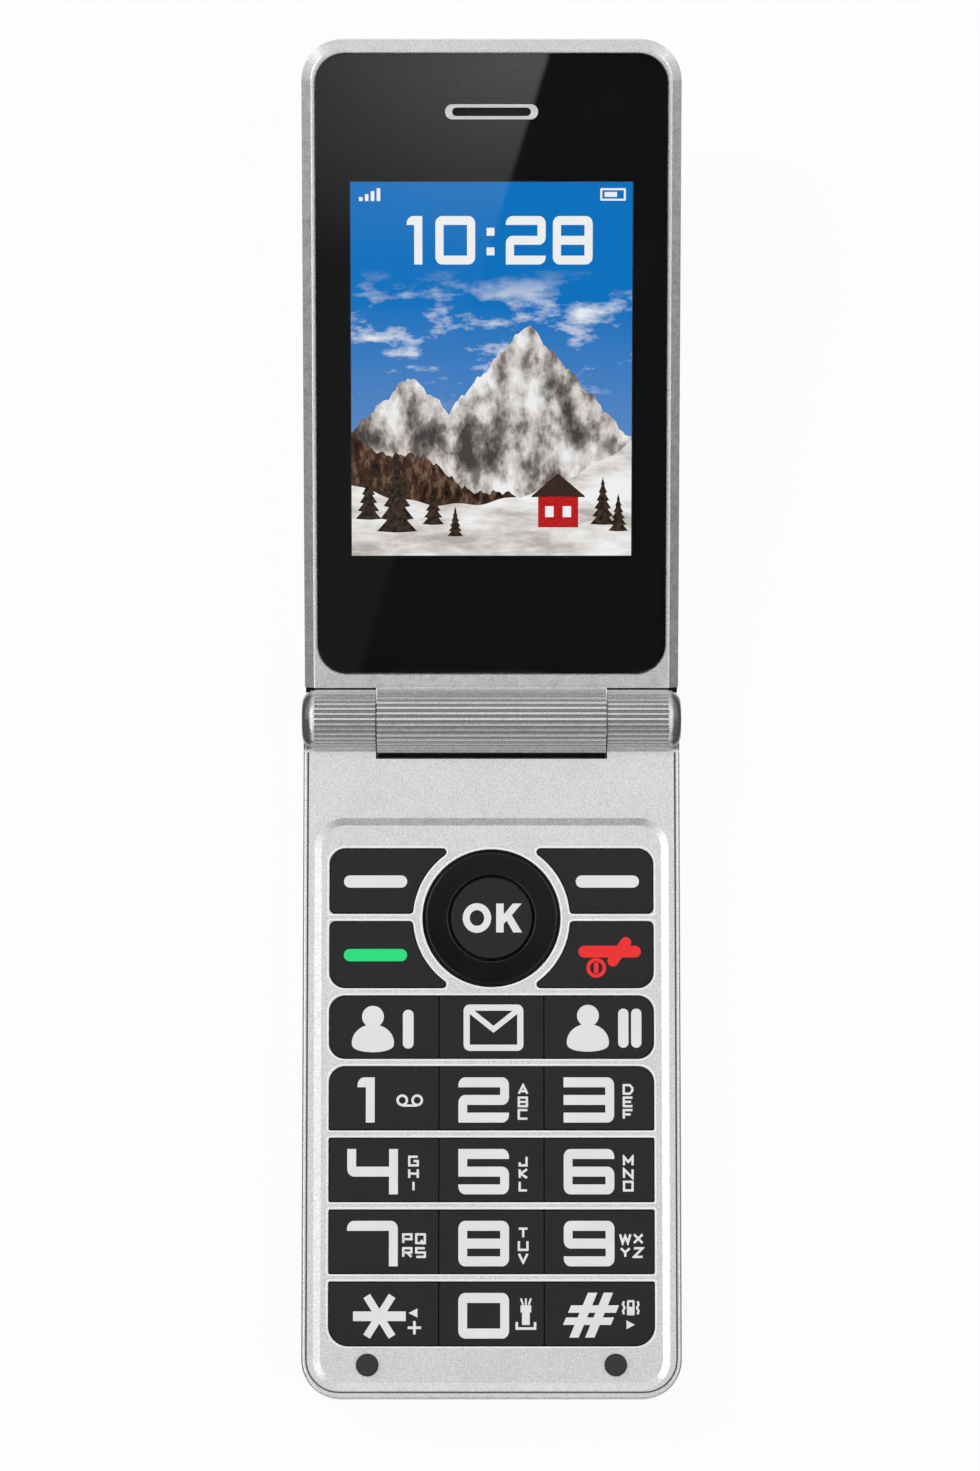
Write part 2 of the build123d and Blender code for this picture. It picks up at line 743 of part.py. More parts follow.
def make_main_board():
    with BuildPart() as board:
        edge = wall + board_side_gap
        with BuildSketch(Plane.XY.offset(parting)):
            add(open_end(base_width - 2 * edge, board_back, base_end + edge, end_radius - edge))
            for y in screw_ys:
                with Locations((-screw_x, y), (screw_x, y)):
                    Circle(screw_radius + slide_clearance, mode=Mode.SUBTRACT)
        extrude(amount=board_thickness)
    save(board, "main_board")


def key_centres():
    """Middle of each push key, for the domes and the mat's nubs."""
    centres = [(0, nav_y)]
    column_x = (column_edge + key_field_width / 2) / 2
    for row, _, _ in ring_rows:
        for side in (-1, 1):
            centres.append((side * (column_x + side_dome_shift), hinge_y - sum(row) / 2))
    for row, _, _ in straight_rows:
        for column in (-1, 0, 1):
            centres.append((column * column_x, hinge_y - sum(row) / 2))
    return centres


def make_dome_sheet():
    standing = (Align.CENTER, Align.CENTER, Align.MIN)
    with BuildPart() as sheet:
        base_box(-mat_half, mat_half, mat_low_y, mat_high_y, board_top, sheet_top)
        for x, y in key_centres():
            with Locations((x, y, sheet_top)):
                Cone(dome_radius, dome_radius / 2, dome_height, align=standing)
    save(sheet, "dome_sheet")


def make_keypad_mat():
    with BuildPart() as mat:
        base_box(-mat_half, mat_half, mat_low_y, mat_high_y, mat_bottom, mat_top)
        for x, y in key_centres():
            upright(x, y, dome_top + nub_gap, mat_bottom, nub_radius)
        # side rims that stand on the dome sheet
        for side in (-1, 1):
            low, high = mirrored(mat_half - mat_rim, mat_half, side)
            base_box(low, high, mat_low_y, mat_high_y, sheet_top, mat_bottom)
    save(mat, "keypad_mat")


def make_loudspeaker():
    with BuildPart() as speaker:
        with BuildSketch(Plane.XY.offset(speaker_floor)):
            with Locations((speaker_x, speaker_y)):
                RectangleRounded(speaker_width, speaker_length, speaker_corner)
        extrude(amount=speaker_height)
        # dished front over the sound holes
        with BuildSketch(Plane.XY.offset(speaker_floor)):
            with Locations((speaker_x, speaker_y)):
                width = speaker_width - 2 * speaker_border
                length = speaker_length - 2 * speaker_border
                RectangleRounded(width, length, speaker_corner)
        extrude(amount=speaker_dish, mode=Mode.SUBTRACT)
    save(speaker, "loudspeaker")


def make_vibration_motor():
    motor_end = motor_x + motor_length
    with BuildPart() as motor:
        crosswise(motor_x, motor_end, motor_y, motor_z, motor_radius)
        bore = axle_radius + run_clearance
        crosswise(motor_x, motor_end, motor_y, motor_z, bore, mode=Mode.SUBTRACT)
    save(motor, "vibration_motor")

    # half disc that hangs below its axle
    start = motor_end + weight_gap
    with BuildPart() as weight:
        with BuildSketch(Plane.YZ.offset(start)):
            with Locations((motor_y, motor_z)):
                Circle(weight_radius)
            with Locations((motor_y, motor_z + axle_radius + weight_radius)):
                Rectangle(2 * weight_radius, 2 * weight_radius, mode=Mode.SUBTRACT)
        extrude(amount=weight_length)
        crosswise(start - motor_length / 2, start + weight_length, motor_y, motor_z, axle_radius)
    save(weight, "vibration_weight")


def make_usb_socket():
    half = usb_width / 2
    low = base_end + usb_setback
    high = low + usb_length
    inner = half - usb_wall
    bottom = usb_bottom + usb_wall
    top = parting - usb_wall
    with BuildPart() as socket:
        base_box(-half, half, low, high, usb_bottom, parting)
        base_box(-inner, inner, low, high - usb_wall, bottom, top, mode=Mode.SUBTRACT)
        # contact tongue
        middle = (bottom + top) / 2
        tongue_half = inner - usb_tongue_setback
        tongue_low = low + usb_tongue_setback
        base_box(-tongue_half, tongue_half, tongue_low, high - usb_wall, middle, middle + usb_tongue)
    save(socket, "usb_socket")


def make_sim_socket():
    half = sim_width / 2
    low = sim_y - sim_length / 2
    high = sim_y + sim_length / 2
    bottom = battery_ceiling - sim_height
    with BuildPart() as socket:
        base_box(-half, half, low, high, bottom, battery_ceiling)
        # slot for the card
        inner = half - sim_side_wall
        slot_low = bottom + usb_wall
        slot_high = slot_low + sim_card_slot
        base_box(-inner, inner, low + sim_side_wall, high, slot_low, slot_high, mode=Mode.SUBTRACT)
    save(socket, "sim_socket")


def make_microphone():
    with BuildPart() as microphone:
        upright(microphone_x, microphone_y, board_top, board_top + microphone_height, microphone_radius)
    save(microphone, "microphone")


def make_base_screws():
    head_bottom = screw_seat - screw_head_height
    drive_top = head_bottom + screw_drive_depth
    with BuildPart() as screws:
        for y in screw_ys:
            for x in (-screw_x, screw_x):
                upright(x, y, head_bottom, screw_seat, screw_head_radius)
                upright(x, y, screw_seat, panel_bottom, screw_radius)
                upright(x, y, head_bottom, drive_top, screw_drive_radius, mode=Mode.SUBTRACT)
    save(screws, "base_screws")


def make_bumper_pads():
    with BuildPart() as pads:
        for x in (-bumper_x, bumper_x):
            upright(x, bumper_y, panel_top - bumper_seat, base_depth + bumper_rise, bumper_radius)
        fillet(pads.edges().filter_by(GeomType.CIRCLE).group_by(Axis.Z)[-1], bumper_rise)
    save(pads, "bumper_pads")


# ---------------------------------------------------------------- keys
def make_key(name, face, flange, pad):
    """Push key: flange under the panel, cap through it and a slightly raised pad."""
    with BuildPart() as key:
        with BuildSketch(Plane.XY.offset(flange_bottom)):
            add(flange)
        extrude(amount=flange_thickness)
        with BuildSketch(Plane.XY.offset(flange_top)):
            add(face)
        extrude(amount=key_face - flange_top)
        fillet(key.faces().sort_by(Axis.Z)[-1].edges(), key_edge_radius)
        with BuildSketch(Plane.XY.offset(key_face)):
            add(pad)
        extrude(amount=pad_rise)
    save(key, name)


def make_side_keys():
    names = [("key_soft_left", "key_soft_right"), ("key_call", "key_end")]
    for pair, (row, corner_low, corner_high) in zip(names, ring_rows):
        for side, name in zip((-1, 1), pair):
            face = side_key_outline(side, row, 0, corner_low, corner_high)
            flange = side_key_outline(side, row, flange_lip, corner_low, corner_high)
            pad = side_key_outline(side, row, -pad_inset, joint_corner, joint_corner)
            make_key(name, face, flange, pad)


def make_row_keys():
    names = [
        ("key_contact_1", "key_message", "key_contact_2"),
        ("key_1", "key_2", "key_3"),
        ("key_4", "key_5", "key_6"),
        ("key_7", "key_8", "key_9"),
        ("key_star", "key_0", "key_hash"),
    ]
    for row_names, (row, corner_low, corner_high) in zip(names, straight_rows):
        for column, name in zip((-1, 0, 1), row_names):
            face = row_key_outline(column, row, 0, corner_low, corner_high)
            flange = row_key_outline(column, row, flange_lip, corner_low, corner_high)
            x_low, x_high = key_span(column, -pad_inset)
            if column < 1:
                x_high -= pad_inset
            if column > -1:
                x_low += pad_inset
            y_low = hinge_y - row[1] + pad_inset
            y_high = hinge_y - row[0] - pad_inset
            pad = round_corners(x_low, x_high, y_low, y_high, (pad_corner,) * 4)
            make_key(name, face, flange, pad)


def make_nav_keys():
    hollow_radius = nav_ring_radius - nav_ring_wall
    hollow_top = nav_flange_top + nav_plate_room
    plate_radius = hollow_radius - nav_plate_gap
    plate_bore = plate_radius - nav_plate_width
    # pivot plate in the ring's hollow
    with BuildPart() as carrier:
        upright(0, nav_y, nav_flange_bottom, nav_flange_top, plate_radius)
        upright(0, nav_y, nav_flange_bottom, nav_flange_top, plate_bore, mode=Mode.SUBTRACT)
    save(carrier, "nav_carrier")

    with BuildPart() as ring:
        upright(0, nav_y, nav_flange_bottom, nav_flange_top, nav_ring_radius + nav_flange_lip)
        upright(0, nav_y, nav_flange_bottom, key_face, nav_ring_radius)
        upright(0, nav_y, nav_flange_bottom, hollow_top, hollow_radius, mode=Mode.SUBTRACT)
        upright(0, nav_y, hollow_top, key_face, nav_inner_radius, mode=Mode.SUBTRACT)
        fillet(ring.faces().sort_by(Axis.Z)[-1].edges().sort_by(SortBy.LENGTH)[-1], ring_outer_round)
        fillet(ring.faces().sort_by(Axis.Z)[-1].edges().sort_by(SortBy.LENGTH)[0], ring_inner_round)
    save(ring, "nav_ring")

    with BuildPart() as ok_key:
        upright(0, nav_y, flange_bottom, key_face + pad_rise, ok_radius)
        fillet(ok_key.faces().sort_by(Axis.Z)[-1].edges(), ok_edge_radius)
    save(ok_key, "key_ok")


# ---------------------------------------------------------------- hinge works
def make_hinge_works():
    with BuildPart() as can:
        on_axis(can_start, can_end, can_radius)
        on_axis(can_start, can_end - can_wall, can_radius - can_wall, mode=Mode.SUBTRACT)
    save(can, "hinge_can")

    cam_start = can_start + cam_setback
    cam_end = cam_start + cam_length
    with BuildPart() as cam:
        on_axis(cam_start, cam_end, cam_radius)
        on_axis(cam_start, cam_end, shaft_radius + run_clearance, mode=Mode.SUBTRACT)
    save(cam, "hinge_cam")

    coil_start = cam_end + spring_wire_radius + spring_gap
    coil_end = can_end - can_wall - spring_wire_radius - spring_gap
    coil_length = coil_end - coil_start
    coil_radius = can_radius - can_wall - spring_wire_radius - 2 * spring_gap
    coil_centre = (coil_start, hinge_y, hinge_z)
    with BuildPart() as spring:
        with BuildLine() as coil:
            Helix(coil_length / spring_turns, coil_length, coil_radius, coil_centre, (1, 0, 0))
        with BuildSketch(Plane(coil.line @ 0, z_dir=coil.line % 0)):
            Circle(spring_wire_radius)
        sweep()
    save(spring, "hinge_spring")

    with BuildPart() as shaft:
        on_axis(shaft_start, -side_barrel_start + press_clearance, shaft_head_radius)
        on_axis(shaft_start, can_end - can_wall - shaft_radius / 2, shaft_radius)
    save(shaft, "hinge_shaft")

    with BuildPart() as bush:
        on_axis(bush_start, bush_end, bush_radius)
        on_axis(bush_start, bush_end, bush_bore_radius, mode=Mode.SUBTRACT)
    save(bush, "hinge_bush")


def flex_route(x_low, thickness):
    """Side view of the ribbon: from the roll in the barrel, through the web, to the lid's board."""
    roll_foot = flex_roll_radius - flex_thickness / 2
    level = lid_board_top + press_clearance + flex_thickness / 2
    turn = (bush_radius, -bush_radius)
    tail = lid_board_start + flex_tail
    with BuildSketch(lid_side.offset(x_low), mode=Mode.PRIVATE) as ribbon:
        with BuildLine():
            Polyline((0, -roll_foot), turn, (lid_start, level), (tail, level))
        trace(line_width=thickness)
    return ribbon.sketch


def make_lid_flex():
    inner = flex_roll_radius - flex_thickness
    with BuildPart() as flex:
        on_axis(flex_x, bush_end, flex_roll_radius)
        extrude(flex_route(flex_x, flex_thickness), amount=flex_width)
        on_axis(flex_x, bush_end, inner, mode=Mode.SUBTRACT)
    save(flex, "lid_flex")


def cut_flex_slot():
    """Way of the ribbon through a lid shell."""
    slot = flex_route(flex_x - slide_clearance, flex_thickness + 4 * slide_clearance)
    extrude(slot, amount=flex_width + 2 * slide_clearance, mode=Mode.SUBTRACT)


# ---------------------------------------------------------------- lid shells
def lid_form(low, high, is_back):
    """Slab of the lid between two levels: the back's free edges are rounded, the inner face's slope off."""
    across = Axis((0, 0, 0), lid_normal)
    along = Axis((0, 0, 0), lid_direction)
    with BuildPart() as form:
        with BuildSketch(lid_face.offset(low)):
            add(open_end(lid_width, lid_start, reach, end_radius))
        extrude(amount=high - low)
        ends = form.faces().filter_by(across).sort_by(across)
        face = ends[0 if is_back else -1]
        free_edges = face.edges().sort_by(along)[1:]
        if is_back:
            fillet(free_edges, back_edge_radius)
        else:
            chamfer(free_edges, lid_slope_width, lid_slope_depth, reference=face)
            inner_face = form.faces().filter_by(across).sort_by(across)[-1]
            fillet(inner_face.edges().sort_by(along)[1:], lid_slope_round)
    return form.part


def lid_hollow(low, high):
    """Cut the room inside a lid shell, between two levels."""
    outline = open_end(lid_width - 2 * wall, lid_start + wall, reach - wall, end_radius - wall)
    extrude(lid_face.offset(low).location * outline, high - low, dir=lid_normal, mode=Mode.SUBTRACT)


def window_outline(grow):
    """Outline of the window, made larger all round."""
    half = window_width / 2 + grow
    radii = (window_radius + grow,) * 4
    return round_corners(-half, half, window_start - grow, window_end + grow, radii)


def ear_slot(grow):
    """Outline of the earpiece's rim, made larger all round."""
    with BuildSketch(Plane.XY, mode=Mode.PRIVATE) as slot:
        with Locations((0, ear_up)):
            SlotOverall(ear_width + 2 * grow, ear_height + 2 * grow)
    return slot.sketch


def ear_opening(shrink):
    """Opening inside the earpiece's rim, made smaller all round."""
    with BuildSketch(Plane.XY, mode=Mode.PRIVATE) as opening:
        with Locations((0, ear_up)):
            SlotOverall(ear_width - 2 * (ear_end_rim + shrink), ear_height - 2 * (ear_rim + shrink))
    return opening.sketch


def make_lid_front_housing():
    gap = 2 * press_clearance
    with BuildPart() as housing:
        add(lid_form(lid_split_level, lid_inner, False))
        lid_hollow(lid_split_level, plate_bottom)

        # pocket of the window and its printed mask
        with BuildSketch(lid_face.offset(mask_bottom)):
            add(window_outline(gap))
        extrude(amount=lid_inner - mask_bottom, mode=Mode.SUBTRACT)

        # openings for the display and the earpiece
        half = lcd_width / 2 + gap
        up_reach = lcd_height / 2 + gap
        up_low = active_up - up_reach
        up_high = active_up + up_reach
        lid_box(-half, half, up_low, up_high, plate_bottom, mask_bottom, mode=Mode.SUBTRACT)
        with BuildSketch(lid_face.offset(plate_bottom)):
            add(ear_slot(gap))
        extrude(amount=plate_thickness, mode=Mode.SUBTRACT)

        # barrel and the web that carries it
        ends = (-middle_barrel_half, middle_barrel_half)
        add(fluted_barrel(*ends, middle_barrel_radius, *ends, 0, 0))
        lid_box(*ends, 0, lid_start + wall, lid_split_level, -web_drop)

        # bores of the hinge works
        can_bore = can_radius + press_clearance
        on_axis(-middle_barrel_half, can_end + press_clearance, can_bore, mode=Mode.SUBTRACT)
        bush_bore = bush_radius + run_clearance
        on_axis(flex_x - flex_side_room, middle_barrel_half, bush_bore, mode=Mode.SUBTRACT)
        cut_flex_slot()

        # screw holes
        for up in lid_screw_ups:
            for x in (-lid_screw_x, lid_screw_x):
                hole = screw_radius + slide_clearance
                lid_post(x, up, lid_split_level, mask_bottom, hole, mode=Mode.SUBTRACT)
                head_hole = screw_head_radius + slide_clearance
                lid_post(x, up, lid_screw_seat, mask_bottom, head_hole, mode=Mode.SUBTRACT)
    save(housing, "lid_front_housing")


def make_lid_back_cover():
    with BuildPart() as cover:
        add(lid_form(lid_outer, lid_split_level, True))
        lid_hollow(lid_floor, lid_split_level)

        # bosses of the lid screws, up to the plate they pull against
        for up in lid_screw_ups:
            for x in (-lid_screw_x, lid_screw_x):
                lid_post(x, up, lid_floor, plate_bottom, boss_radius)
                bore = screw_radius + press_clearance
                foot = lid_floor + lid_screw_floor
                lid_post(x, up, foot, plate_bottom, bore, mode=Mode.SUBTRACT)

        # camera and flash openings
        bezel_hole = camera_bezel_radius + press_clearance
        lid_post(0, camera_up, lid_outer, lid_floor, bezel_hole, mode=Mode.SUBTRACT)
        flash_hole = flash_radius + press_clearance
        lid_post(flash_x, camera_up, lid_outer, lid_floor, flash_hole, mode=Mode.SUBTRACT)
        cut_flex_slot()
    save(cover, "lid_back_cover")


# ---------------------------------------------------------------- works inside the lid
def make_window():
    with BuildPart() as window:
        with BuildSketch(lid_face.offset(window_bottom)):
            add(window_outline(0))
            add(ear_slot(press_clearance), mode=Mode.SUBTRACT)
        extrude(amount=window_thickness)
    save(window, "display_window")

    with BuildPart() as mask:
        with BuildSketch(lid_face.offset(mask_bottom)):
            add(window_outline(0))
            add(ear_slot(press_clearance), mode=Mode.SUBTRACT)
            with Locations((0, active_up)):
                width = active_width + 2 * active_margin
                height = active_height + 2 * active_margin
                Rectangle(width, height, mode=Mode.SUBTRACT)
        extrude(amount=mask_thickness)
    save(mask, "window_mask")


def make_display():
    half = lcd_width / 2
    low = active_up - lcd_height / 2
    high = active_up + lcd_height / 2
    with BuildPart() as panel:
        lid_box(-half, half, low, high, lcd_bottom, lcd_top)
    save(panel, "lcd_panel")

    gap = press_clearance
    side = tray_wall
    tray_top = plate_bottom - gap
    with BuildPart() as tray:
        lid_box(-half - side, half + side, low - side, high + side, tray_bottom, tray_top)
        seat = (-half - gap, half + gap, low - gap, high + gap)
        lid_box(*seat, lcd_bottom, tray_top, mode=Mode.SUBTRACT)
    save(tray, "lcd_tray")


def make_lid_board():
    half = lid_width / 2 - lid_board_side
    with BuildPart() as board:
        with BuildSketch(lid_face.offset(lid_board_bottom)):
            radii = (lid_board_corner,) * 4
            add(round_corners(-half, half, lid_board_start, lid_board_end, radii))
        extrude(amount=lid_board_thickness)
        # standoffs that carry the display tray
        for x in (-half + standoff_side, half - standoff_side):
            for up in (lid_board_start + standoff_end, lid_board_end - standoff_end):
                lid_post(x, up, lid_board_top, tray_bottom, standoff_radius)
    save(board, "lid_board")


def make_earpiece():
    with BuildPart() as bezel:
        with BuildSketch(lid_face.offset(mask_bottom)):
            add(ear_slot(0))
            add(ear_opening(0), mode=Mode.SUBTRACT)
        extrude(amount=lid_inner + ear_rise - mask_bottom)
    save(bezel, "earpiece_bezel")

    with BuildPart() as mesh:
        with BuildSketch(lid_face.offset(window_bottom)):
            add(ear_opening(mesh_clearance))
        extrude(amount=mesh_thickness)
    save(mesh, "earpiece_mesh")

    with BuildPart() as receiver:
        with BuildSketch(lid_face.offset(receiver_bottom)):
            with Locations((0, ear_up + receiver_shift)):
                RectangleRounded(receiver_width, receiver_height, receiver_corner)
        extrude(amount=plate_bottom - receiver_bottom)
    save(receiver, "earpiece_receiver")


def make_camera():
    lens_inner = lid_outer + camera_lens_inset
    lens_outer = lens_inner + camera_lens_depth
    with BuildPart() as module:
        half = camera_side / 2
        bottom = lid_board_bottom - camera_depth
        lid_box(-half, half, camera_up - half, camera_up + half, bottom, lid_board_bottom)
        lid_post(0, camera_up, lens_outer + camera_barrel_gap, lid_board_bottom, camera_barrel_radius)
    save(module, "camera_module")

    bore = camera_bezel_radius - camera_bezel_width
    with BuildPart() as bezel:
        lid_post(0, camera_up, lid_outer, lid_floor, camera_bezel_radius)
        lid_post(0, camera_up, lid_outer, lid_floor, bore, mode=Mode.SUBTRACT)
    save(bezel, "camera_bezel")

    with BuildPart() as lens:
        lid_post(0, camera_up, lens_inner, lens_outer, bore - mesh_clearance)
    save(lens, "camera_lens")

    with BuildPart() as flash:
        lid_post(flash_x, camera_up, lid_outer + flash_inset, lid_board_bottom, flash_radius)
    save(flash, "flash_lens")


def make_lid_magnet():
    x_low = magnet_x - magnet_width / 2
    x_high = magnet_x + magnet_width / 2
    up_low = magnet_up - magnet_height / 2
    up_high = magnet_up + magnet_height / 2
    with BuildPart() as magnet:
        lid_box(x_low, x_high, up_low, up_high, plate_bottom - magnet_depth, plate_bottom)
    save(magnet, "lid_magnet")


def make_lid_screws():
    with BuildPart() as screws:
        for up in lid_screw_ups:
            for x in (-lid_screw_x, lid_screw_x):
                lid_post(x, up, lid_screw_seat, lid_screw_seat + lid_screw_head, screw_head_radius)
                lid_post(x, up, lid_floor + lid_screw_floor, lid_screw_seat, screw_radius)
    save(screws, "lid_screws")


make_base_front_housing()
make_base_back_housing()
make_battery_cover()
make_battery()
make_main_board()
make_dome_sheet()
make_keypad_mat()
make_loudspeaker()
make_vibration_motor()
make_usb_socket()
make_sim_socket()
make_microphone()
make_base_screws()
make_bumper_pads()
make_side_keys()
make_row_keys()
make_nav_keys()
make_hinge_works()
make_lid_flex()
make_lid_front_housing()
make_lid_back_cover()
make_window()
make_display()
make_lid_board()
make_earpiece()
make_camera()
make_lid_magnet()
make_lid_screws()
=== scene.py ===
"""Looks of a flip phone: finishes of its shells, keys and metal parts, key legends, lit picture, floor and lights.

Lengths are millimetres in the sizes and helpers below, and become metres where a mesh is written.
The phone lies open on its back: X is the width, +Y runs from the keypad to the lid and +Z is up.
The lid's own axes are x across, up along the lid from the hinge axis, and level out of its inner face.
"""

import json
import math

import bmesh
import bpy
import numpy as np
from bpy.props import FloatProperty, FloatVectorProperty, PointerProperty
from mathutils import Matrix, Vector


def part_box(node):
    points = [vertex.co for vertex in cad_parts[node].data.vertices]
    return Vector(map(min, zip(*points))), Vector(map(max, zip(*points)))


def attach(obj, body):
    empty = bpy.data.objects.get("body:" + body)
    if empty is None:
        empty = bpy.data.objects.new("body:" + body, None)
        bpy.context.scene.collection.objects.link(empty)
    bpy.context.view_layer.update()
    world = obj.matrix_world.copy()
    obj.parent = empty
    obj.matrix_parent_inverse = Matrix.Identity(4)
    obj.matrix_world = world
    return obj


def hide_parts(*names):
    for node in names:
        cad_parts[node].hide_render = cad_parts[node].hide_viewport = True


bl_info = {
    "name": "Flip phone looks",
    "version": (1, 0, 0),
    "blender": (4, 5, 0),
    "location": "3D View > Sidebar > Phone",
    "description": "Finishes, key legends, lit picture and stage of a flip phone",
    "category": "Object",
}

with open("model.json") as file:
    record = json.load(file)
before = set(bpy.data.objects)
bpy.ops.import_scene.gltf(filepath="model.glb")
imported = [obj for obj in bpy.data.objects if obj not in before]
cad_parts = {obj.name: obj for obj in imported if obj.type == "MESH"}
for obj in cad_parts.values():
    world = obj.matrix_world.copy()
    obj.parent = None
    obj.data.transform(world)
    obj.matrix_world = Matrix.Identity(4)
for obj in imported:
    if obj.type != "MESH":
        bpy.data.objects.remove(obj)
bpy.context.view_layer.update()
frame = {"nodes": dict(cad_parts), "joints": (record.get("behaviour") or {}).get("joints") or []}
NODES = frame["nodes"]
JOINTS = {joint["name"]: joint for joint in frame["joints"]}
MM = 0.001
HINGE = Vector(JOINTS["lid_hinge"]["pos_m"]) / MM
LID_TILT = math.pi - math.radians(JOINTS["lid_hinge"]["range_deg"][1])
SINE, COSINE = math.sin(LID_TILT), math.cos(LID_TILT)


def box_mm(node):
    """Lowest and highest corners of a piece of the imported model, in millimetres."""
    low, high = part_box(node)
    return np.array(low) / MM, np.array(high) / MM


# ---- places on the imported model
PANE_LOW, PANE_HIGH = -1.30, -0.35  # levels of the clear window in the lid
PANE_GAP = 0.02  # air between the pane and the print
PANE_CORNER = 4.6
SLOT_GAP = 0.1  # round the earpiece rim, in the pane
SLOT_RISE = 1.15  # half the height of the earpiece rim
LCD_TOP = -1.50
KEY_TOP = box_mm("key_1")[1][2]
KEY_HALF = box_mm("key_3")[1][0]
NAV_Y = JOINTS["nav_tilt_updown"]["pos_m"][1] / MM
RING_RADIUS = 10.4
OK_RISE = 0.3  # the OK key stands this much above the panel
PANEL_TOP = box_mm("key_ok")[1][2] - OK_RISE
BEAD_SUNK = 0.15  # share of its radius that the bead lies below the panel
SIDE_BARREL, MIDDLE_BARREL = 4.7, 5.1  # radii of the hinge barrels
FLUTE_DEPTH, FLUTE_CREST = 0.24, 0.06  # the shade runs between these depths below the barrel
FLUTE_TONE = (0.38, 1.06)
CLEARANCE = 0.15  # round a key, in its opening
KEY_FLANGE = 0.4  # hidden lip round the foot of a key
RING_HOLE_GAP = 0.3  # round the ring, in its hole
RIB_WIDTH = 1.6  # silver rib between the ring's hole and the keys beside it
RING_SIDE_CORNER = 0.45  # corners of the side keys at the ring
SHADE_STRIP_X, SHADE_STRIP_END = 28.46, -51.26  # middle of the groove that follows the deck's edge, where a dark strip of painted shade lies
SHADE_STRIP_CORNER, SHADE_STRIP_LEVEL, SHADE_STRIP_RADIUS = 5.06, 10.22, 0.12
SHADE_STRIP_GAP = 0.3  # from its ends to the side barrels
LID_START = 5.0  # lower edge of the lid, up from the hinge axis
LID_SHADE_LOW, LID_SHADE_BITE = -3.3, 0.02  # lower face of the black strips of painted shade on that edge, and how far they sit in it
LID_SHADE_STRIPS = ((17.95, 28.2, 4.32, -2.2), (28.1, 28.9, 3.9, -2.6))  # inner end, outer end, lower edge, upper face
TROUGH_SHADE_HALF = 17.6  # black strip of painted shade in the trough: half its length
TROUGH_SHADE_BACK, TROUGH_SHADE_FRONT = 4.8, 5.85  # its edges, from the hinge axis
TROUGH_SHADE_HIGH, TROUGH_SHADE_LOW = 2.25, 3.2  # its faces, below the hinge axis


# ---- sizes and colours
def length(name, description, millimetres):
    """Length property with a default in millimetres."""
    return FloatProperty(name=name, description=description, default=millimetres * MM, unit="LENGTH")


def colour(name, description, red, green, blue):
    """Colour property with a plain default."""
    return FloatVectorProperty(name=name, description=description, subtype="COLOR", size=3, min=0, max=1,
                               default=(red, green, blue))


class PhoneSizes(bpy.types.PropertyGroup):
    """Sizes of the moulded legends, edge beads and the stage."""

    pane_edge: length("Pane edge", "Eased front edge of the clear window", 0.12)
    legend_rise: length("Legend rise", "Legends stand above the key pads", 0.02)
    legend_bevel: length("Legend bevel", "Softened edge of the legends", 0.06)
    digit_width: length("Digit width", "Width of a large digit", 7.8)
    digit_height: length("Digit height", "Height of a large digit", 6.96)
    digit_upright: length("Upright stroke", "Width of a digit's upright strokes", 1.36)
    digit_level: length("Level stroke", "Width of a digit's level strokes", 1.53)
    letter_size: length("Letter size", "Height of the small letters", 1.68)
    bead_radius: length("Bead radius", "Rounded edge round the key openings", 0.18)
    flake_size: length("Flake size", "Grain of the silver paint", 0.13)
    camera_distance: length("Camera distance", "Camera to the hinge axis", 800)
    camera_elevation: FloatProperty(name="Camera elevation", description="Camera above the horizon",
                                    default=math.radians(83.5), subtype="ANGLE")


class PhoneColours(bpy.types.PropertyGroup):
    """Colours of the finishes, as linear values."""

    silver: colour("Silver", "Silver paint of the shells", 0.76, 0.76, 0.765)
    key_black: colour("Key black", "Moulded key caps", 0.0082, 0.0082, 0.0086)
    ring_black: colour("Ring black", "Gloss navigation ring", 0.004, 0.004, 0.0045)
    print_black: colour("Print black", "Screen print behind the window", 0.004, 0.004, 0.0045)
    legend_white: colour("Legend white", "White legends", 0.79, 0.79, 0.79)
    legend_green: colour("Legend green", "Call key legend", 0.015, 0.75, 0.20)
    legend_red: colour("Legend red", "End key legend", 0.87, 0.022, 0.022)
    picture_blue: colour("Picture blue", "Sky of the lit picture", 0.004, 0.18, 0.55)
    picture_white: colour("Picture white", "Clouds and clock of the lit picture", 0.95, 0.96, 0.97)


def settings(context):
    """The sizes and colours of this scene."""
    return context.scene.phone_sizes, context.scene.phone_colours


# ---- meshes from whole arrays
def on_lid(points):
    """Points (x, up, level) of the lid, turned into the row frame about the hinge axis."""
    x, up, level = points.T
    return np.stack((x, HINGE.y + up * COSINE - level * SINE, HINGE.z + up * SINE + level * COSINE), axis=1)


def at_level(points, level):
    """Flat points with a third measure: one level for all, or one for each."""
    points = np.asarray(points, float)
    return np.concatenate((points, np.broadcast_to(level, points.shape[:-1])[..., None]), axis=-1)


def rounded_corner(point, before, after, half, radius, steps):
    """Edges of a stroke at a corner.

    The mitre is (a + b) / (1 + a.b) for the two side normals a and b.  The inner edge stays at
    point - mitre * half; the outer edge is an arc of the radius about point + mitre * (half - radius)."""
    mitre = (before + after) / (1 + before @ after)
    turn = before[0] * after[1] - before[1] * after[0]
    side = -1.0 if turn > 0 else 1.0
    angle = math.atan2(turn, before @ after) * np.linspace(0, 1, steps if radius > 0 else 2)
    unit = np.stack((before[0] * np.cos(angle) - before[1] * np.sin(angle),
                     before[0] * np.sin(angle) + before[1] * np.cos(angle)), axis=1)
    outer = point + side * mitre * (half - radius) + side * radius * unit
    inner = np.repeat([point - side * mitre * half], len(angle), axis=0)
    return (outer, inner) if side > 0 else (inner, outer)


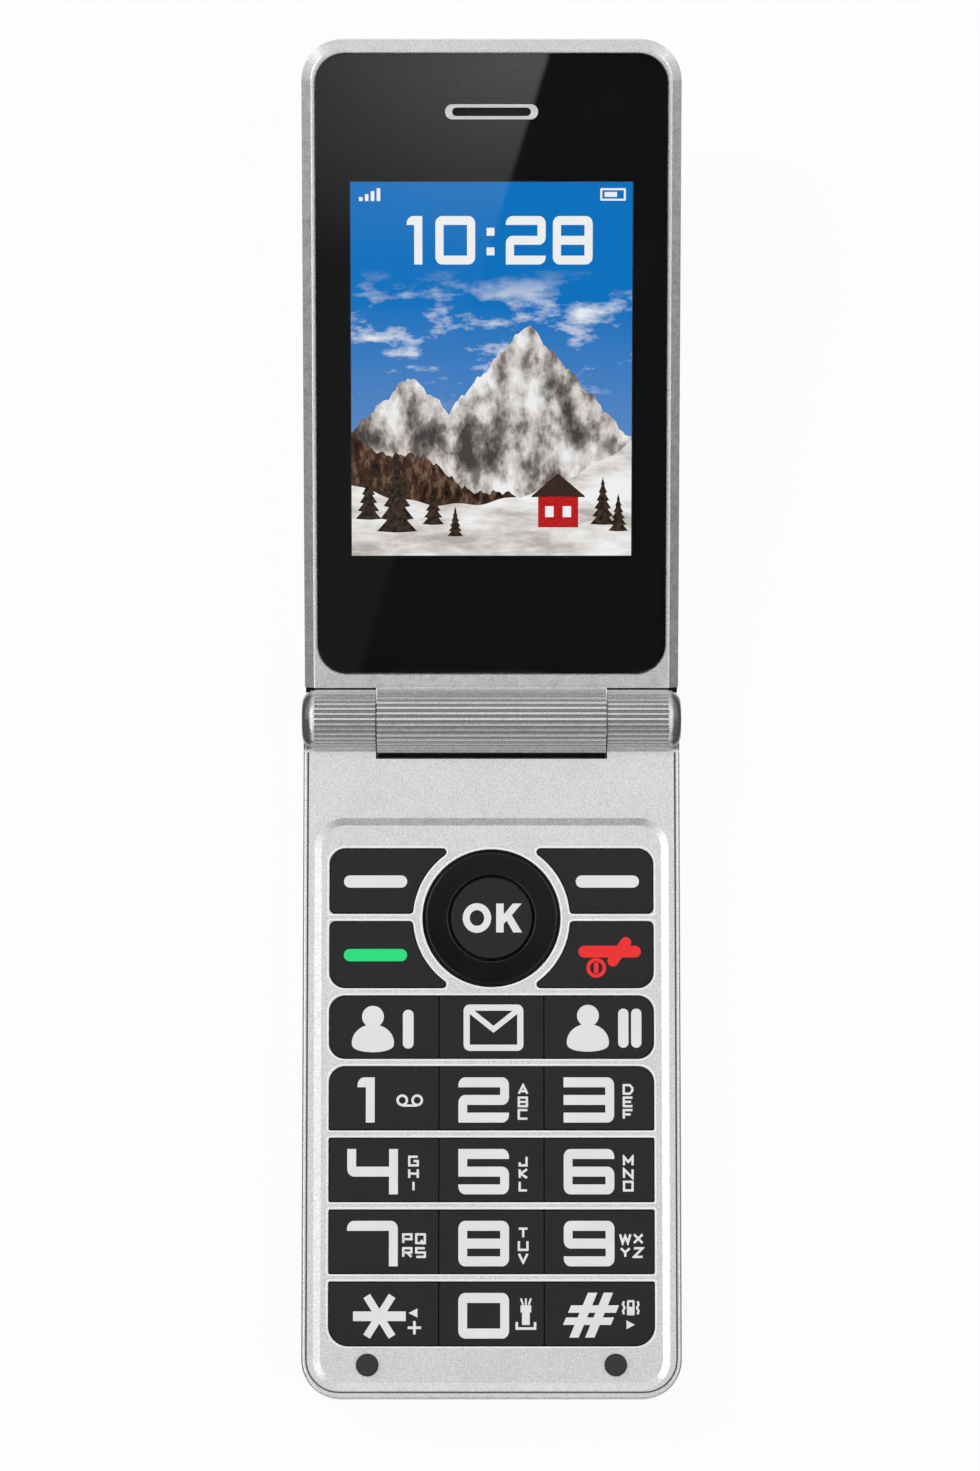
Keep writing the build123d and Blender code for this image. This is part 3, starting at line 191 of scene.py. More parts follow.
def rounded_end(point, direction, half, radii, steps):
    """Edges of a stroke at its start: at distance s the half width is half - R + sqrt(R^2 - (R - s)^2)."""
    largest = max(radii)
    s = largest * (1 - np.cos(np.linspace(0, math.pi / 2, steps))) if largest > 0 else np.zeros(1)
    normal = np.array((-direction[1], direction[0]))
    edges = []
    for radius, side in zip(radii, (1, -1)):
        rest = radius - np.minimum(s, radius)
        offset = half - radius + np.sqrt(np.maximum(radius**2 - rest**2, 0))
        edges.append(point + np.outer(s, direction) + side * np.outer(offset, normal))
    return edges


def stroke_edges(points, width, corners, start=(0, 0), end=(0, 0), closed=False, steps=7):
    """Left and right edges of a flat stroke of one width along straight runs, with rounded corners and ends.

    corners holds one radius for each turn, start and end the radii of the end's left and right sides."""
    points = np.asarray(points, float)
    half = width / 2
    runs = np.roll(points, -1, axis=0) - points if closed else np.diff(points, axis=0)
    runs /= np.linalg.norm(runs, axis=1, keepdims=True)
    normals = np.stack((-runs[:, 1], runs[:, 0]), axis=1)
    turns = range(len(points)) if closed else range(1, len(points) - 1)
    parts = [rounded_corner(points[turn], normals[turn - 1], normals[turn], half, radius, steps)
             for turn, radius in zip(turns, corners)]
    if not closed:
        right, left = rounded_end(points[-1], -runs[-1], half, end[::-1], steps)
        parts = [rounded_end(points[0], runs[0], half, start, steps), *parts, (left[::-1], right[::-1])]
    return [np.concatenate(edge) for edge in zip(*parts)]


def tube_shell(rings, closed=False):
    """Vertices and faces of sections joined into a tube, with flat caps on its ends unless it is closed."""
    count, sides = rings.shape[:2]
    index = np.arange(count * sides).reshape(count, sides)
    here, there = (index, np.roll(index, -1, axis=0)) if closed else (index[:-1], index[1:])
    quads = np.stack((here, np.roll(here, -1, axis=1), np.roll(there, -1, axis=1), there), axis=-1).reshape(-1, 4)
    caps = [] if closed else [index[0, ::-1].tolist(), index[-1].tolist()]
    return rings.reshape(-1, 3), quads.tolist() + caps


def swept_shell(section, closed=False):
    """Tube whose section has a corner for each (line, level); a line runs the whole way along the tube."""
    return tube_shell(np.stack([at_level(line, level) for line, level in section], axis=1), closed)


def stroke_shell(edges, low, high, bevel, closed):
    """Closed shell of a stroke: its section goes up the left edge, over a small bevel and down the right edge."""
    left, right = edges
    across = right - left
    width = np.linalg.norm(across, axis=1, keepdims=True)
    inset = across / np.maximum(width, 1e-9) * np.minimum(bevel, 0.4 * width)
    shoulder = high - min(bevel, 0.8 * (high - low)) * 0.5
    return swept_shell([(left, low), (left, shoulder), (left + inset, high),
                        (right - inset, high), (right, shoulder), (right, low)], closed)


def mound_shell(outline, low, high, bevel, centre=None):
    """Closed plate inside an outline seen from its centre; its last ring is drawn in by the bevel, a soft edge."""
    outline = np.asarray(outline, float)
    centre = outline.mean(axis=0) if centre is None else np.asarray(centre, float)
    reach = np.linalg.norm(outline - centre, axis=1, keepdims=True)
    inner = centre + (outline - centre) * (1 - np.minimum(bevel / reach, 0.5))
    rings = (outline, low), (outline, high - bevel * 0.4), (inner, high)
    return tube_shell(np.stack([at_level(ring, level) for ring, level in rings]))


def bead_shell(path, radius, level, closed=True, sides=8):
    """Half-round bead along a path: point + normal * r cos(a), at height level + r sin(a)."""
    tangent = np.roll(path, -1, axis=0) - np.roll(path, 1, axis=0) if closed else np.gradient(path, axis=0)
    tangent /= np.linalg.norm(tangent, axis=1, keepdims=True)
    normal = np.stack((-tangent[:, 1], tangent[:, 0]), axis=1)
    angle = np.linspace(0, math.pi, sides)
    flat = path[:, None, :] + normal[:, None, :] * (radius * np.cos(angle))[None, :, None]
    return tube_shell(at_level(flat, level + radius * np.sin(angle)), closed)


def make_piece(name, shells, finish, body, smooth=False):
    """One mesh object from closed shells in millimetres, with its finish, body and material slot."""
    starts = np.cumsum([0] + [len(corners) for corners, _ in shells])
    faces = [[start + corner for corner in face] for start, shell in zip(starts, shells) for face in shell[1]]
    corners = np.concatenate([corners for corners, _ in shells])
    if body == "lid":
        corners = on_lid(corners)
    mesh = bpy.data.meshes.new(name)
    mesh.from_pydata((corners * MM).tolist(), [], faces)
    mesh.validate()
    outward = bmesh.new()
    outward.from_mesh(mesh)
    bmesh.ops.recalc_face_normals(outward, faces=outward.faces)
    outward.to_mesh(mesh)
    outward.free()
    mesh.polygons.foreach_set("use_smooth", np.full(len(mesh.polygons), smooth))
    mesh.update()
    mesh.materials.append(finish)
    piece = bpy.data.objects.new(name, mesh)
    bpy.context.scene.collection.objects.link(piece)
    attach(piece, body)
    return piece


def arc(angles, centre=(0.0, 0.0), radius=1.0, stretch=1.0):
    """Points at angles round a centre: centre + (r cos a, stretch r sin a)."""
    return np.stack((centre[0] + radius * np.cos(angles), centre[1] + radius * stretch * np.sin(angles)), axis=1)


def circle(centre, radius, count=40, stretch=1.0):
    """Points of a circle, or of an ellipse stretched along y."""
    return arc(np.linspace(0, 2 * math.pi, count, endpoint=False), centre, radius, stretch)


def rounded_outline(x_low, x_high, y_low, y_high, radii, steps=8):
    """Closed rectangle outline; one radius, or one at each corner: low left, low right, high right, high left."""
    corners = ((x_low, y_low, 1, 1), (x_high, y_low, -1, 1), (x_high, y_high, -1, -1), (x_low, y_high, 1, -1))
    parts = []
    for quarter, ((x, y, inward_x, inward_y), radius) in enumerate(zip(corners, np.broadcast_to(radii, 4))):
        begin = (180 + 90 * quarter) % 360
        angles = np.radians(np.linspace(begin, begin + 90, steps))
        parts.append(arc(angles, (x + inward_x * radius, y + inward_y * radius), radius))
    return np.concatenate(parts)


def small_plate(x_low, x_high, y_low, y_high, low, high, bevel=0.04):
    """Thin rectangular plate between two levels, with small corners and a soft edge."""
    return mound_shell(rounded_outline(x_low, x_high, y_low, y_high, 0.05, 2), low, high, bevel)


# ---- node helpers
class Value:
    """Output of a node, with arithmetic that adds math nodes to its tree."""

    def __init__(self, graph, socket):
        self.graph = graph
        self.socket = socket

    def math(self, operation, other=0.0):
        return self.graph.node("Math", {0: self, 1: other}, "Value", operation=operation)

    def __add__(self, other):
        return self.math("ADD", other)

    def __sub__(self, other):
        return self.math("SUBTRACT", other)

    def __rsub__(self, other):
        return self.graph.node("Math", {0: other, 1: self}, "Value", operation="SUBTRACT")

    def __mul__(self, other):
        return self.math("MULTIPLY", other)

    def __abs__(self):
        return self.math("ABSOLUTE")

    def run(self, low, high, from_low=0.3, from_high=0.7):
        """This value carried from one range to another."""
        return self.graph.node("MapRange", {"From Min": from_low, "From Max": from_high, "To Min": low,
                                            "To Max": high, "Value": self}, "Result")


class Graph:
    """Node tree with short ways to add nodes."""

    def __init__(self, tree):
        self.tree = tree

    def put(self, socket, value):
        """Link a node's value to a socket; a plain value is set on the socket."""
        if isinstance(value, Value):
            self.tree.links.new(value.socket, socket)
        else:
            socket.default_value = value

    def node(self, kind, inputs, output, **options):
        """Add a node with its options and inputs, and give one of its outputs."""
        node = self.tree.nodes.new("ShaderNode" + kind)
        for name, option in options.items():
            setattr(node, name, option)
        for socket, value in inputs.items():
            self.put(node.inputs[socket], value)
        return Value(self, node.outputs[output])

    def seen_directly(self):
        """1 for camera, glossy and transmission rays, else 0."""
        path = self.tree.nodes.new("ShaderNodeLightPath")
        camera, glossy, clear = [Value(self, path.outputs[f"Is {ray} Ray"])
                                 for ray in ("Camera", "Glossy", "Transmission")]
        return camera.math("MAXIMUM", glossy).math("MAXIMUM", clear)


class Finish(Graph):
    """Material with a Principled shader, and the patterns its sockets are fed from."""

    def __init__(self, name):
        self.material = bpy.data.materials.new(name)
        self.material.use_nodes = True
        super().__init__(self.material.node_tree)
        self.shader = self.tree.nodes["Principled BSDF"]
        self.point = self.node("TexCoord", {}, "Object")

    def axes(self):
        """Object coordinates x, y and z, in metres."""
        first = self.node("SeparateXYZ", {"Vector": self.point}, "X")
        return [Value(self, socket) for socket in first.socket.node.outputs]

    def noise(self, size, detail=2.0, roughness=0.5, stretch=None):
        """Noise with features about this many millimetres across; a low stretch draws it out along its axis."""
        point = self.point
        if stretch is not None:
            point = self.node("Mapping", {"Scale": stretch, "Vector": point}, "Vector")
        return self.node("TexNoise", {"Scale": 1 / (size * MM), "Detail": detail, "Roughness": roughness,
                                      "Vector": point}, "Fac")

    def flakes(self, size):
        """Random level of each paint flake, 0 to 1: cells of a Voronoi pattern."""
        cells = self.node("TexVoronoi", {"Scale": 1 / (size * MM), "Vector": self.point}, "Color")
        return self.node("SeparateColor", {"Color": cells}, "Red")

    def scaled(self, rgb, level):
        """Colour multiplied by a value."""
        return self.node("VectorMath", {0: rgb, "Scale": level}, "Vector", operation="SCALE")

    def done(self, relief=None, **sockets):
        """Fill the shader's sockets and add the relief, a (height, depth in millimetres) pair."""
        for name, value in sockets.items():
            self.put(self.shader.inputs[name.replace("_", " ")], value)
        if relief is not None:
            height, depth = relief
            normal = self.node("Bump", {"Distance": depth * MM, "Height": height}, "Normal")
            self.put(self.shader.inputs["Normal"], normal)
        return self.material

    def lit(self, rgb, roughness=0.4):
        """Shader that only glows."""
        return self.done(Emission_Color=rgb, Emission_Strength=1.0, Base_Color=(0, 0, 0, 1), Roughness=roughness,
                         Specular_IOR_Level=0.0)

    def surface(self, shader):
        """Send a shader to the material's output."""
        self.put(self.tree.nodes["Material Output"].inputs["Surface"], shader)


# ---- finishes
def flute_shade(look, radius):
    """Full tone outside the hinge barrel of this radius, falling to a shadow in the bottom of its flutes."""
    _, y, z = look.axes()
    y, z = y - HINGE.y * MM, z - HINGE.z * MM
    distance = (y * y + z * z).math("POWER", 0.5)
    return distance.run(*FLUTE_TONE, (radius - FLUTE_DEPTH) * MM, (radius - FLUTE_CREST) * MM)


def silver_paint(name, rgb, flake_size, metallic, roughness, barrel_radius=0.0):
    """Silver paint: bright and dark flakes, faint cloudiness, satin clear coat, small scuffs and shaded flutes."""
    look = Finish(name)
    grain = look.flakes(flake_size)
    levels = [grain.run(0.88, 1.08), look.noise(9.0, 3.0).run(0.97, 1.03),
              look.noise(flake_size * 2.2).run(0.95, 1.05)]
    if barrel_radius > 0:
        levels.append(flute_shade(look, barrel_radius))
    for level in levels:
        rgb = look.scaled(rgb, level)
    scuff = look.noise(1.6, 4.0, 0.7).run(roughness - 0.05, roughness + 0.07)
    return look.done(Base_Color=rgb, Roughness=scuff, Metallic=metallic, Coat_Weight=0.25, Coat_Roughness=0.25,
                     relief=(grain, 0.0015))


def moulded(name, rgb, roughness, grain=0.25, depth=0.004, specular=0.5, variation=0.08):
    """Moulded plastic or rubber: fine spark-eroded grain with slight changes of tone and gloss."""
    look = Finish(name)
    wide = look.noise(grain * 22, 3.0)
    return look.done(Base_Color=look.scaled(rgb, wide.run(1 - variation, 1 + variation)),
                     Roughness=wide.run(roughness - 0.04, roughness + 0.05), Specular_IOR_Level=specular,
                     relief=(look.noise(grain, 3.0), depth) if depth > 0 else None)


def metal(name, rgb, roughness, brushed=0.0, grain=0.2):
    """Bare metal: fine streaks along X where it is brushed, small changes of polish elsewhere."""
    look = Finish(name)
    streak = look.noise(grain, 4.0, 0.6, (1 - 0.96 * brushed, 1, 1))
    return look.done(Base_Color=look.scaled(rgb, streak.run(0.92, 1.05)), Metallic=1.0,
                     Roughness=streak.run(roughness * 0.85, roughness * 1.2), relief=(streak, 0.003))


def clear_plastic(name, rgb, roughness):
    """Clear hard-coated plastic with a trace of haze."""
    look = Finish(name)
    haze = look.noise(14.0, 4.0)
    return look.done(Base_Color=look.scaled(rgb, haze.run(0.995, 1.005)), Transmission_Weight=1.0, IOR=1.49,
                     Roughness=haze.run(roughness * 0.6, roughness * 1.4))


def woven_mesh(name):
    """Fine woven steel cloth, black coated: two crossed wave patterns 0.3 mm apart."""
    look = Finish(name)
    wires = [look.node("TexWave", {"Scale": 1 / (0.3 * MM) / math.pi, "Vector": look.point}, "Fac",
                       bands_direction=direction) for direction in "XY"]
    weave = wires[0] * wires[1]
    return look.done(Base_Color=look.scaled((0.03, 0.03, 0.031), weave.run(0.3, 1.6)), Metallic=0.7, Roughness=0.5,
                     relief=(weave, 0.05))


def board(name):
    """Green circuit board: solder mask over a fine pattern of traces."""
    look = Finish(name)
    pattern = {"Scale": 1 / (9 * MM), "Mortar Size": 0.03, "Color1": (0.012, 0.11, 0.045, 1),
               "Color2": (0.016, 0.14, 0.055, 1), "Mortar": (0.03, 0.22, 0.09, 1), "Vector": look.point}
    traces = look.node("TexBrick", pattern, "Color")
    mortar = Value(look, traces.socket.node.outputs["Fac"])
    return look.done(Base_Color=traces, Roughness=0.35, relief=(mortar, 0.02))


def frosted(name):
    """Frosted clear plastic over the lamp, with a faint warm tone and a ribbed lens."""
    look = Finish(name)
    rib = look.noise(0.4)
    return look.done(Base_Color=look.scaled((0.85, 0.82, 0.68), rib.run(0.92, 1.04)), Transmission_Weight=0.4,
                     Roughness=0.35, relief=(rib, 0.02))


def lit(name, rgb, contrast=0.04):
    """Lit part of the picture: plain emission over a fine grid of display cells."""
    look = Finish(name)
    return look.lit(look.scaled(rgb, look.flakes(0.18).run(1 - contrast, 1.0)))


def lit_blend(name, stops, size, detail=4.0, stretch=(1, 1, 1)):
    """Lit part of the picture whose colour runs through stops (place, colour) with a noise of one size."""
    look = Finish(name)
    blended = look.node("ValToRGB", {"Fac": look.noise(size, detail, 0.62, stretch)}, "Color")
    ramp = blended.socket.node.color_ramp
    while len(ramp.elements) < len(stops):
        ramp.elements.new(0.5)
    for element, (place, rgb) in zip(ramp.elements, stops):
        element.position = place
        element.color = (*rgb, 1)
    return look.lit(blended)


def lit_sky(name, blue, white):
    """Blue sky that pales to the horizon, with a bank of soft cloud: noise times a band along the lid."""
    look = Finish(name)
    _, y, _ = look.axes()
    cloud = look.noise(4.5, 6.0, 0.6, (0.45, 1, 1)).run(0.0, 1.0, 0.50, 0.66)
    band = y.run(0.0, 1.0, 0.098, 0.106) * y.run(1.0, 0.0, 0.113, 0.120)
    share = (cloud * band).math("MAXIMUM", y.run(0.22, 0.0, 0.075, 0.115))
    factor, first, second, result = 0, 6, 7, 2  # sockets of the Mix node in its colour mode
    sky = look.node("Mix", {factor: share, first: (*blue, 1), second: (*white, 1)}, result, data_type="RGBA")
    return look.lit(sky, 0.5)


def dress(material, *names):
    """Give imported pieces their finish."""
    for name in names:
        slots = NODES[name].data.materials
        slots.clear()
        slots.append(material)


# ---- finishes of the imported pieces
KEY_ROWS = (("contact_1", "message", "contact_2"), "123", "456", "789", ("star", "0", "hash"))
SIDE_KEYS = ("soft_left", "soft_right", "call", "end")


class PHONE_OT_shells(bpy.types.Operator):
    """Silver paint of the base, the lid and the battery cover"""

    bl_idname = "phone.shells"
    bl_label = "Shells"

    def execute(self, context):
        sizes, colours = settings(context)
        for name, barrel_radius, nodes in (
                ("silver_paint", 0.0, ("base_back_housing", "lid_back_cover", "battery_cover")),
                ("silver_base", SIDE_BARREL, ("base_front_housing",)),
                ("silver_lid", MIDDLE_BARREL, ("lid_front_housing",))):
            paint = silver_paint(name, colours.silver, sizes.flake_size / MM, metallic=0.8, roughness=0.27,
                                 barrel_radius=barrel_radius)
            dress(paint, *nodes)
        return {"FINISHED"}


class PHONE_OT_key_caps(bpy.types.Operator):
    """Satin black key caps, the gloss ring and the rubber bumpers"""

    bl_idname = "phone.key_caps"
    bl_label = "Key caps"

    def execute(self, context):
        _, colours = settings(context)
        satin = moulded("key_black", colours.key_black, 0.42, grain=0.12, depth=0.003, specular=0.32)
        dress(satin, *[f"key_{name}" for row in (*KEY_ROWS, SIDE_KEYS, ["ok"]) for name in row])
        dress(moulded("ring_gloss", colours.ring_black, 0.10, grain=1.5, depth=0.001, specular=0.35), "nav_ring")
        dress(moulded("bumper_rubber", (0.02, 0.02, 0.021), 0.7, grain=0.15, depth=0.006), "bumper_pads")
        return {"FINISHED"}


def ray_hits(outline, centre, angles):
    """Points of a closed outline round a centre, one on the ray at each angle: centre + d (P x E) / (d x E)."""
    points = outline - centre
    points = points[np.argsort(np.arctan2(points[:, 1], points[:, 0]))]
    begin = np.arctan2(points[:, 1], points[:, 0])
    pick = (np.searchsorted(begin, angles + 1e-9, side="right") - 1) % len(points)
    from_point, along = points[pick], (np.roll(points, -1, axis=0) - points)[pick]
    ray = arc(angles)
    reach = ((from_point[:, 0] * along[:, 1] - from_point[:, 1] * along[:, 0])
             / (ray[:, 0] * along[:, 1] - ray[:, 1] * along[:, 0]))
    return centre + ray * reach[:, None]


def pane_shell(edge):
    """Clear pane with an eased front edge and a slot for the earpiece: the profile from the outer foot over the
    edge to the slot and back below is carried round, ray by ray from the slot's middle."""
    low, high = box_mm("display_window")
    start = (low[1] - HINGE.y + PANE_HIGH * SINE) / COSINE
    end = (high[1] - HINGE.y + PANE_LOW * SINE) / COSINE
    slot_low, slot_high = box_mm("earpiece_bezel")
    slot_half = slot_high[0] + SLOT_GAP
    middle = (slot_low + slot_high) / 2
    middle = (middle[1] - HINGE.y) * COSINE + (middle[2] - HINGE.z) * SINE
    rise = SLOT_RISE + SLOT_GAP
    outer = rounded_outline(-high[0], high[0], start, end, PANE_CORNER, 14)
    inner = rounded_outline(-slot_half, slot_half, middle - rise, middle + rise, rise - 0.01, 10)
    centre = np.array((0.0, middle))
    angles = np.sort(np.concatenate([np.arctan2(*(outline - centre).T[::-1]) for outline in (outer, inner)]))
    angles = angles[np.concatenate(([True], np.diff(angles) > 1e-5))][::-1]
    rim, hole = ray_hits(outer, centre, angles), ray_hits(inner, centre, angles)
    inward = (centre - rim) / np.linalg.norm(rim - centre, axis=1, keepdims=True)
    foot = PANE_LOW + PANE_GAP
    return swept_shell([(rim, foot), (rim, PANE_HIGH - edge), (rim + inward * edge * 0.3, PANE_HIGH - edge * 0.3),
                        (rim + inward * edge, PANE_HIGH), (hole, PANE_HIGH), (hole, foot)], True)


class PHONE_OT_window(bpy.types.Operator):
    """Clear window of the lid, the black print behind it and the earpiece"""

    bl_idname = "phone.window"
    bl_label = "Window and earpiece"

    def execute(self, context):
        sizes, colours = settings(context)
        clear = clear_plastic("clear_window", (0.97, 0.975, 0.98), 0.004)
        dress(clear, "display_window")
        pane = make_piece("window_pane", [pane_shell(sizes.pane_edge / MM)], clear, "lid")
        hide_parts("display_window")
        dress(moulded("black_print", colours.print_black, 0.6, grain=0.8, depth=0.0, specular=0.06), "window_mask")
        chrome = silver_paint("chrome_trim", (0.74, 0.74, 0.75), 0.1, metallic=0.55, roughness=0.32)
        dress(chrome, "earpiece_bezel", "camera_bezel")
        dress(woven_mesh("mesh_steel"), "earpiece_mesh")
        return {"FINISHED"}


class PHONE_OT_inner_works(bpy.types.Operator):
    """Metal, boards, battery and modules inside the shells"""

    bl_idname = "phone.inner_works"
    bl_label = "Inner works"

    def execute(self, context):
        steel = metal("steel", (0.55, 0.55, 0.56), 0.32, brushed=1.0)
        dress(steel, "vibration_motor", "vibration_weight", "usb_socket", "sim_socket", "base_screws",
              "lid_screws", "hinge_shaft", "hinge_bush", "hinge_can", "hinge_spring", "lcd_tray", "microphone")
        dress(metal("magnet_plate", (0.66, 0.65, 0.62), 0.2), "lid_magnet")
        dress(metal("gold_contact", (0.83, 0.58, 0.22), 0.25), "battery_contacts")
        dress(metal("battery_can", (0.34, 0.35, 0.37), 0.42, brushed=0.9, grain=0.4), "battery")
        dress(board("circuit_board"), "main_board", "lid_board")
        dress(moulded("dome_film", (0.62, 0.62, 0.58), 0.3, grain=1.0), "dome_sheet")
        dress(moulded("mat_rubber", (0.11, 0.11, 0.12), 0.7, grain=0.3, depth=0.006), "keypad_mat")
        dress(moulded("flex_film", (0.42, 0.17, 0.035), 0.3, grain=0.8), "lid_flex")
        dress(moulded("module_black", (0.022, 0.022, 0.023), 0.45), "loudspeaker", "hinge_cam", "nav_carrier",
              "earpiece_receiver", "camera_module")
        dress(moulded("display_cell", (0.01, 0.012, 0.015), 0.25, grain=1.0, depth=0.0), "lcd_panel")
        dress(clear_plastic("lens_glass", (0.75, 0.80, 0.88), 0.01), "camera_lens")
        dress(frosted("flash_diffuser"), "flash_lens")
        return {"FINISHED"}


# ---- rounded edges round the key openings
def arc_corner(level, side, arc_radius, radius, steps=7):
    """Rounded end between a level edge and the arc round the ring: a circle that touches both.

    side is +1 where the key lies below its edge, -1 where it lies above it."""
    y = level - side * radius
    x = -math.sqrt((arc_radius + radius) ** 2 - (y - NAV_Y) ** 2)
    return arc(np.linspace(side * math.pi / 2, math.atan2(NAV_Y - y, -x), steps), (x, y), radius)


def side_opening_path(side, y_low, y_high, corner_low, corner_high, grow):
    """Edge of a key opening beside the ring: straight sides, and rounded ends on an arc about the ring."""
    arc_radius = RING_RADIUS + RING_HOLE_GAP + RIB_WIDTH - grow
    low_end = arc_corner(y_low, -1, arc_radius, RING_SIDE_CORNER + grow)
    high_end = arc_corner(y_high, 1, arc_radius, RING_SIDE_CORNER + grow)[::-1]
    angles = [math.atan2(y - NAV_Y, x) % (2 * math.pi) for x, y in (low_end[-1], high_end[0])]
    inner = arc(np.linspace(*angles, 24)[1:-1], (0, NAV_Y), arc_radius)
    rounded = rounded_outline(KEY_FLANGE - grow - KEY_HALF, 0, y_low, y_high, (corner_low, 0.1, 0.1, corner_high))
    corner_points = len(rounded) // 4
    path = np.concatenate((rounded[:corner_points], low_end, inner, high_end, rounded[-corner_points:]))
    return path[::-1] * (-1, 1) if side > 0 else path


class PHONE_OT_panel_edges(bpy.types.Operator):
    """Rounded edges of the key openings with a painted highlight, a dark strip of painted shade in the deck's
    groove and black strips of painted shade at the hinge
    """

    bl_idname = "phone.panel_edges"
    bl_label = "Panel edges"

    sharp: length("Small corner", "Corner between rows", 0.35)
    large: length("Large corner", "Corner of a group", 2.5)
    last: length("Last corner", "Corner of the last row", 3.1)

    def execute(self, context):
        sizes, _ = settings(context)
        bead = sizes.bead_radius / MM
        sharp, large, last = self.sharp / MM, self.large / MM, self.last / MM
        grow = CLEARANCE + bead
        half = KEY_HALF - KEY_FLANGE + grow

        def sides(key):
            low, high = box_mm(key)
            return low[1] + KEY_FLANGE - grow, high[1] - KEY_FLANGE + grow

        bottoms, tops = (large, sharp, sharp, sharp, last), (large, large, sharp, sharp, sharp)
        paths = [rounded_outline(-half, half, *sides(f"key_{row[0]}"), (bottom, bottom, top, top))
                 for row, bottom, top in zip(KEY_ROWS, bottoms, tops)]
        for key, low_corner, high_corner in (("key_soft_left", sharp, large), ("key_call", large, sharp)):
            paths += [side_opening_path(side, *sides(key), low_corner, high_corner, grow) for side in (-1, 1)]
        paths.append(circle((0, NAV_Y), RING_RADIUS + RING_HOLE_GAP + bead, 96))
        # The beads' near-white colour, lighter than the silver paint round them, is a painted highlight on the
        # openings' rounded edges.
        make_piece("panel_edges", [bead_shell(path, bead, PANEL_TOP - bead * BEAD_SUNK) for path in paths],
                   moulded("bead_silver", (0.93, 0.93, 0.93), 0.3, grain=1.0, depth=0.0, variation=0.03),
                   "base", smooth=True)
        # The dark strip laid in the deck's groove is painted shade: it stands in for the shadow inside the groove.
        deck = rounded_outline(-SHADE_STRIP_X, SHADE_STRIP_X, SHADE_STRIP_END, 0, SHADE_STRIP_CORNER)
        foot = HINGE.y - SIDE_BARREL - SHADE_STRIP_GAP
        groove_shade_path = np.concatenate(([(-SHADE_STRIP_X, foot)], deck[:len(deck) // 2], [(SHADE_STRIP_X, foot)]))
        make_piece("deck_groove_shade", [bead_shell(groove_shade_path, SHADE_STRIP_RADIUS, SHADE_STRIP_LEVEL, closed=False)],
                   moulded("trim_line", (0.17, 0.17, 0.17), 0.5, grain=0.4, depth=0.002), "base",
                   smooth=True)
        # The black strips at the lid's lower edge and in the trough are painted shade: they stand in for the
        # shadow in the gaps round the middle barrel.
        rubber = moulded("hinge_seal", (0.006, 0.006, 0.006), 0.7, grain=0.2, depth=0.002, specular=0.2)
        lid_shade_plates = [small_plate(*sorted((side * inner, side * outer)), up, LID_START + LID_SHADE_BITE, LID_SHADE_LOW, high)
                 for side in (-1, 1) for inner, outer, up, high in LID_SHADE_STRIPS]
        make_piece("hinge_shade_strips", lid_shade_plates, rubber, "lid")
        trough_shade_plate = small_plate(-TROUGH_SHADE_HALF, TROUGH_SHADE_HALF, HINGE.y - TROUGH_SHADE_FRONT, HINGE.y - TROUGH_SHADE_BACK,
                            HINGE.z - TROUGH_SHADE_LOW, HINGE.z - TROUGH_SHADE_HIGH)
        make_piece("trough_shade_strip", [trough_shade_plate], rubber, "base")
        return {"FINISHED"}


# ---- key legends
# Columns of a digit: a left edge, l left stroke, m its inner side, n and r the same on the right, b right edge;
# rows: 0 bottom edge to 4 top edge.  Each stroke: its stations, its corners (R round, s sharp), then the rounded
# sides (L, R) of its start and its end, or the word ring where it closes.
DIGITS = {
    "0": [("l1 r1 r3 l3", "RRRR", "ring")],
    "1": [("a3 r3 r0", "s", "L")],
    "2": [("a3 r3 r2 l2 l1 b1", "RRRs", "L", "R")],
    "3": [("a3 r3 r1 a1", "RR"), ("a2 r2",)],
    "4": [("l4 l2 r2", "R"), ("r4 r0",)],
    "5": [("b3 l3 l2 r2 r1 a1", "ssRR", "R", "L")],
    "6": [("b3 l3 l1 r1 r2 m2", "RRRR", "R")],
    "7": [("a3 r3 r0", "R", "L")],
    "8": [("l1 r1 r3 l3", "RRRR", "ring"), ("l2 r2",)],
    "9": [("a1 r1 r3 l3 l2 n2", "RRRR", "R")],
}
NARROW_DIGIT = 2.65  # width of the digit one
OUTER_ROUND = 1.05  # outer corners of the digits
STEP = 0.003  # each further stroke of a legend stands this much prouder
SUNK = 0.02  # legends start this far below the key pads

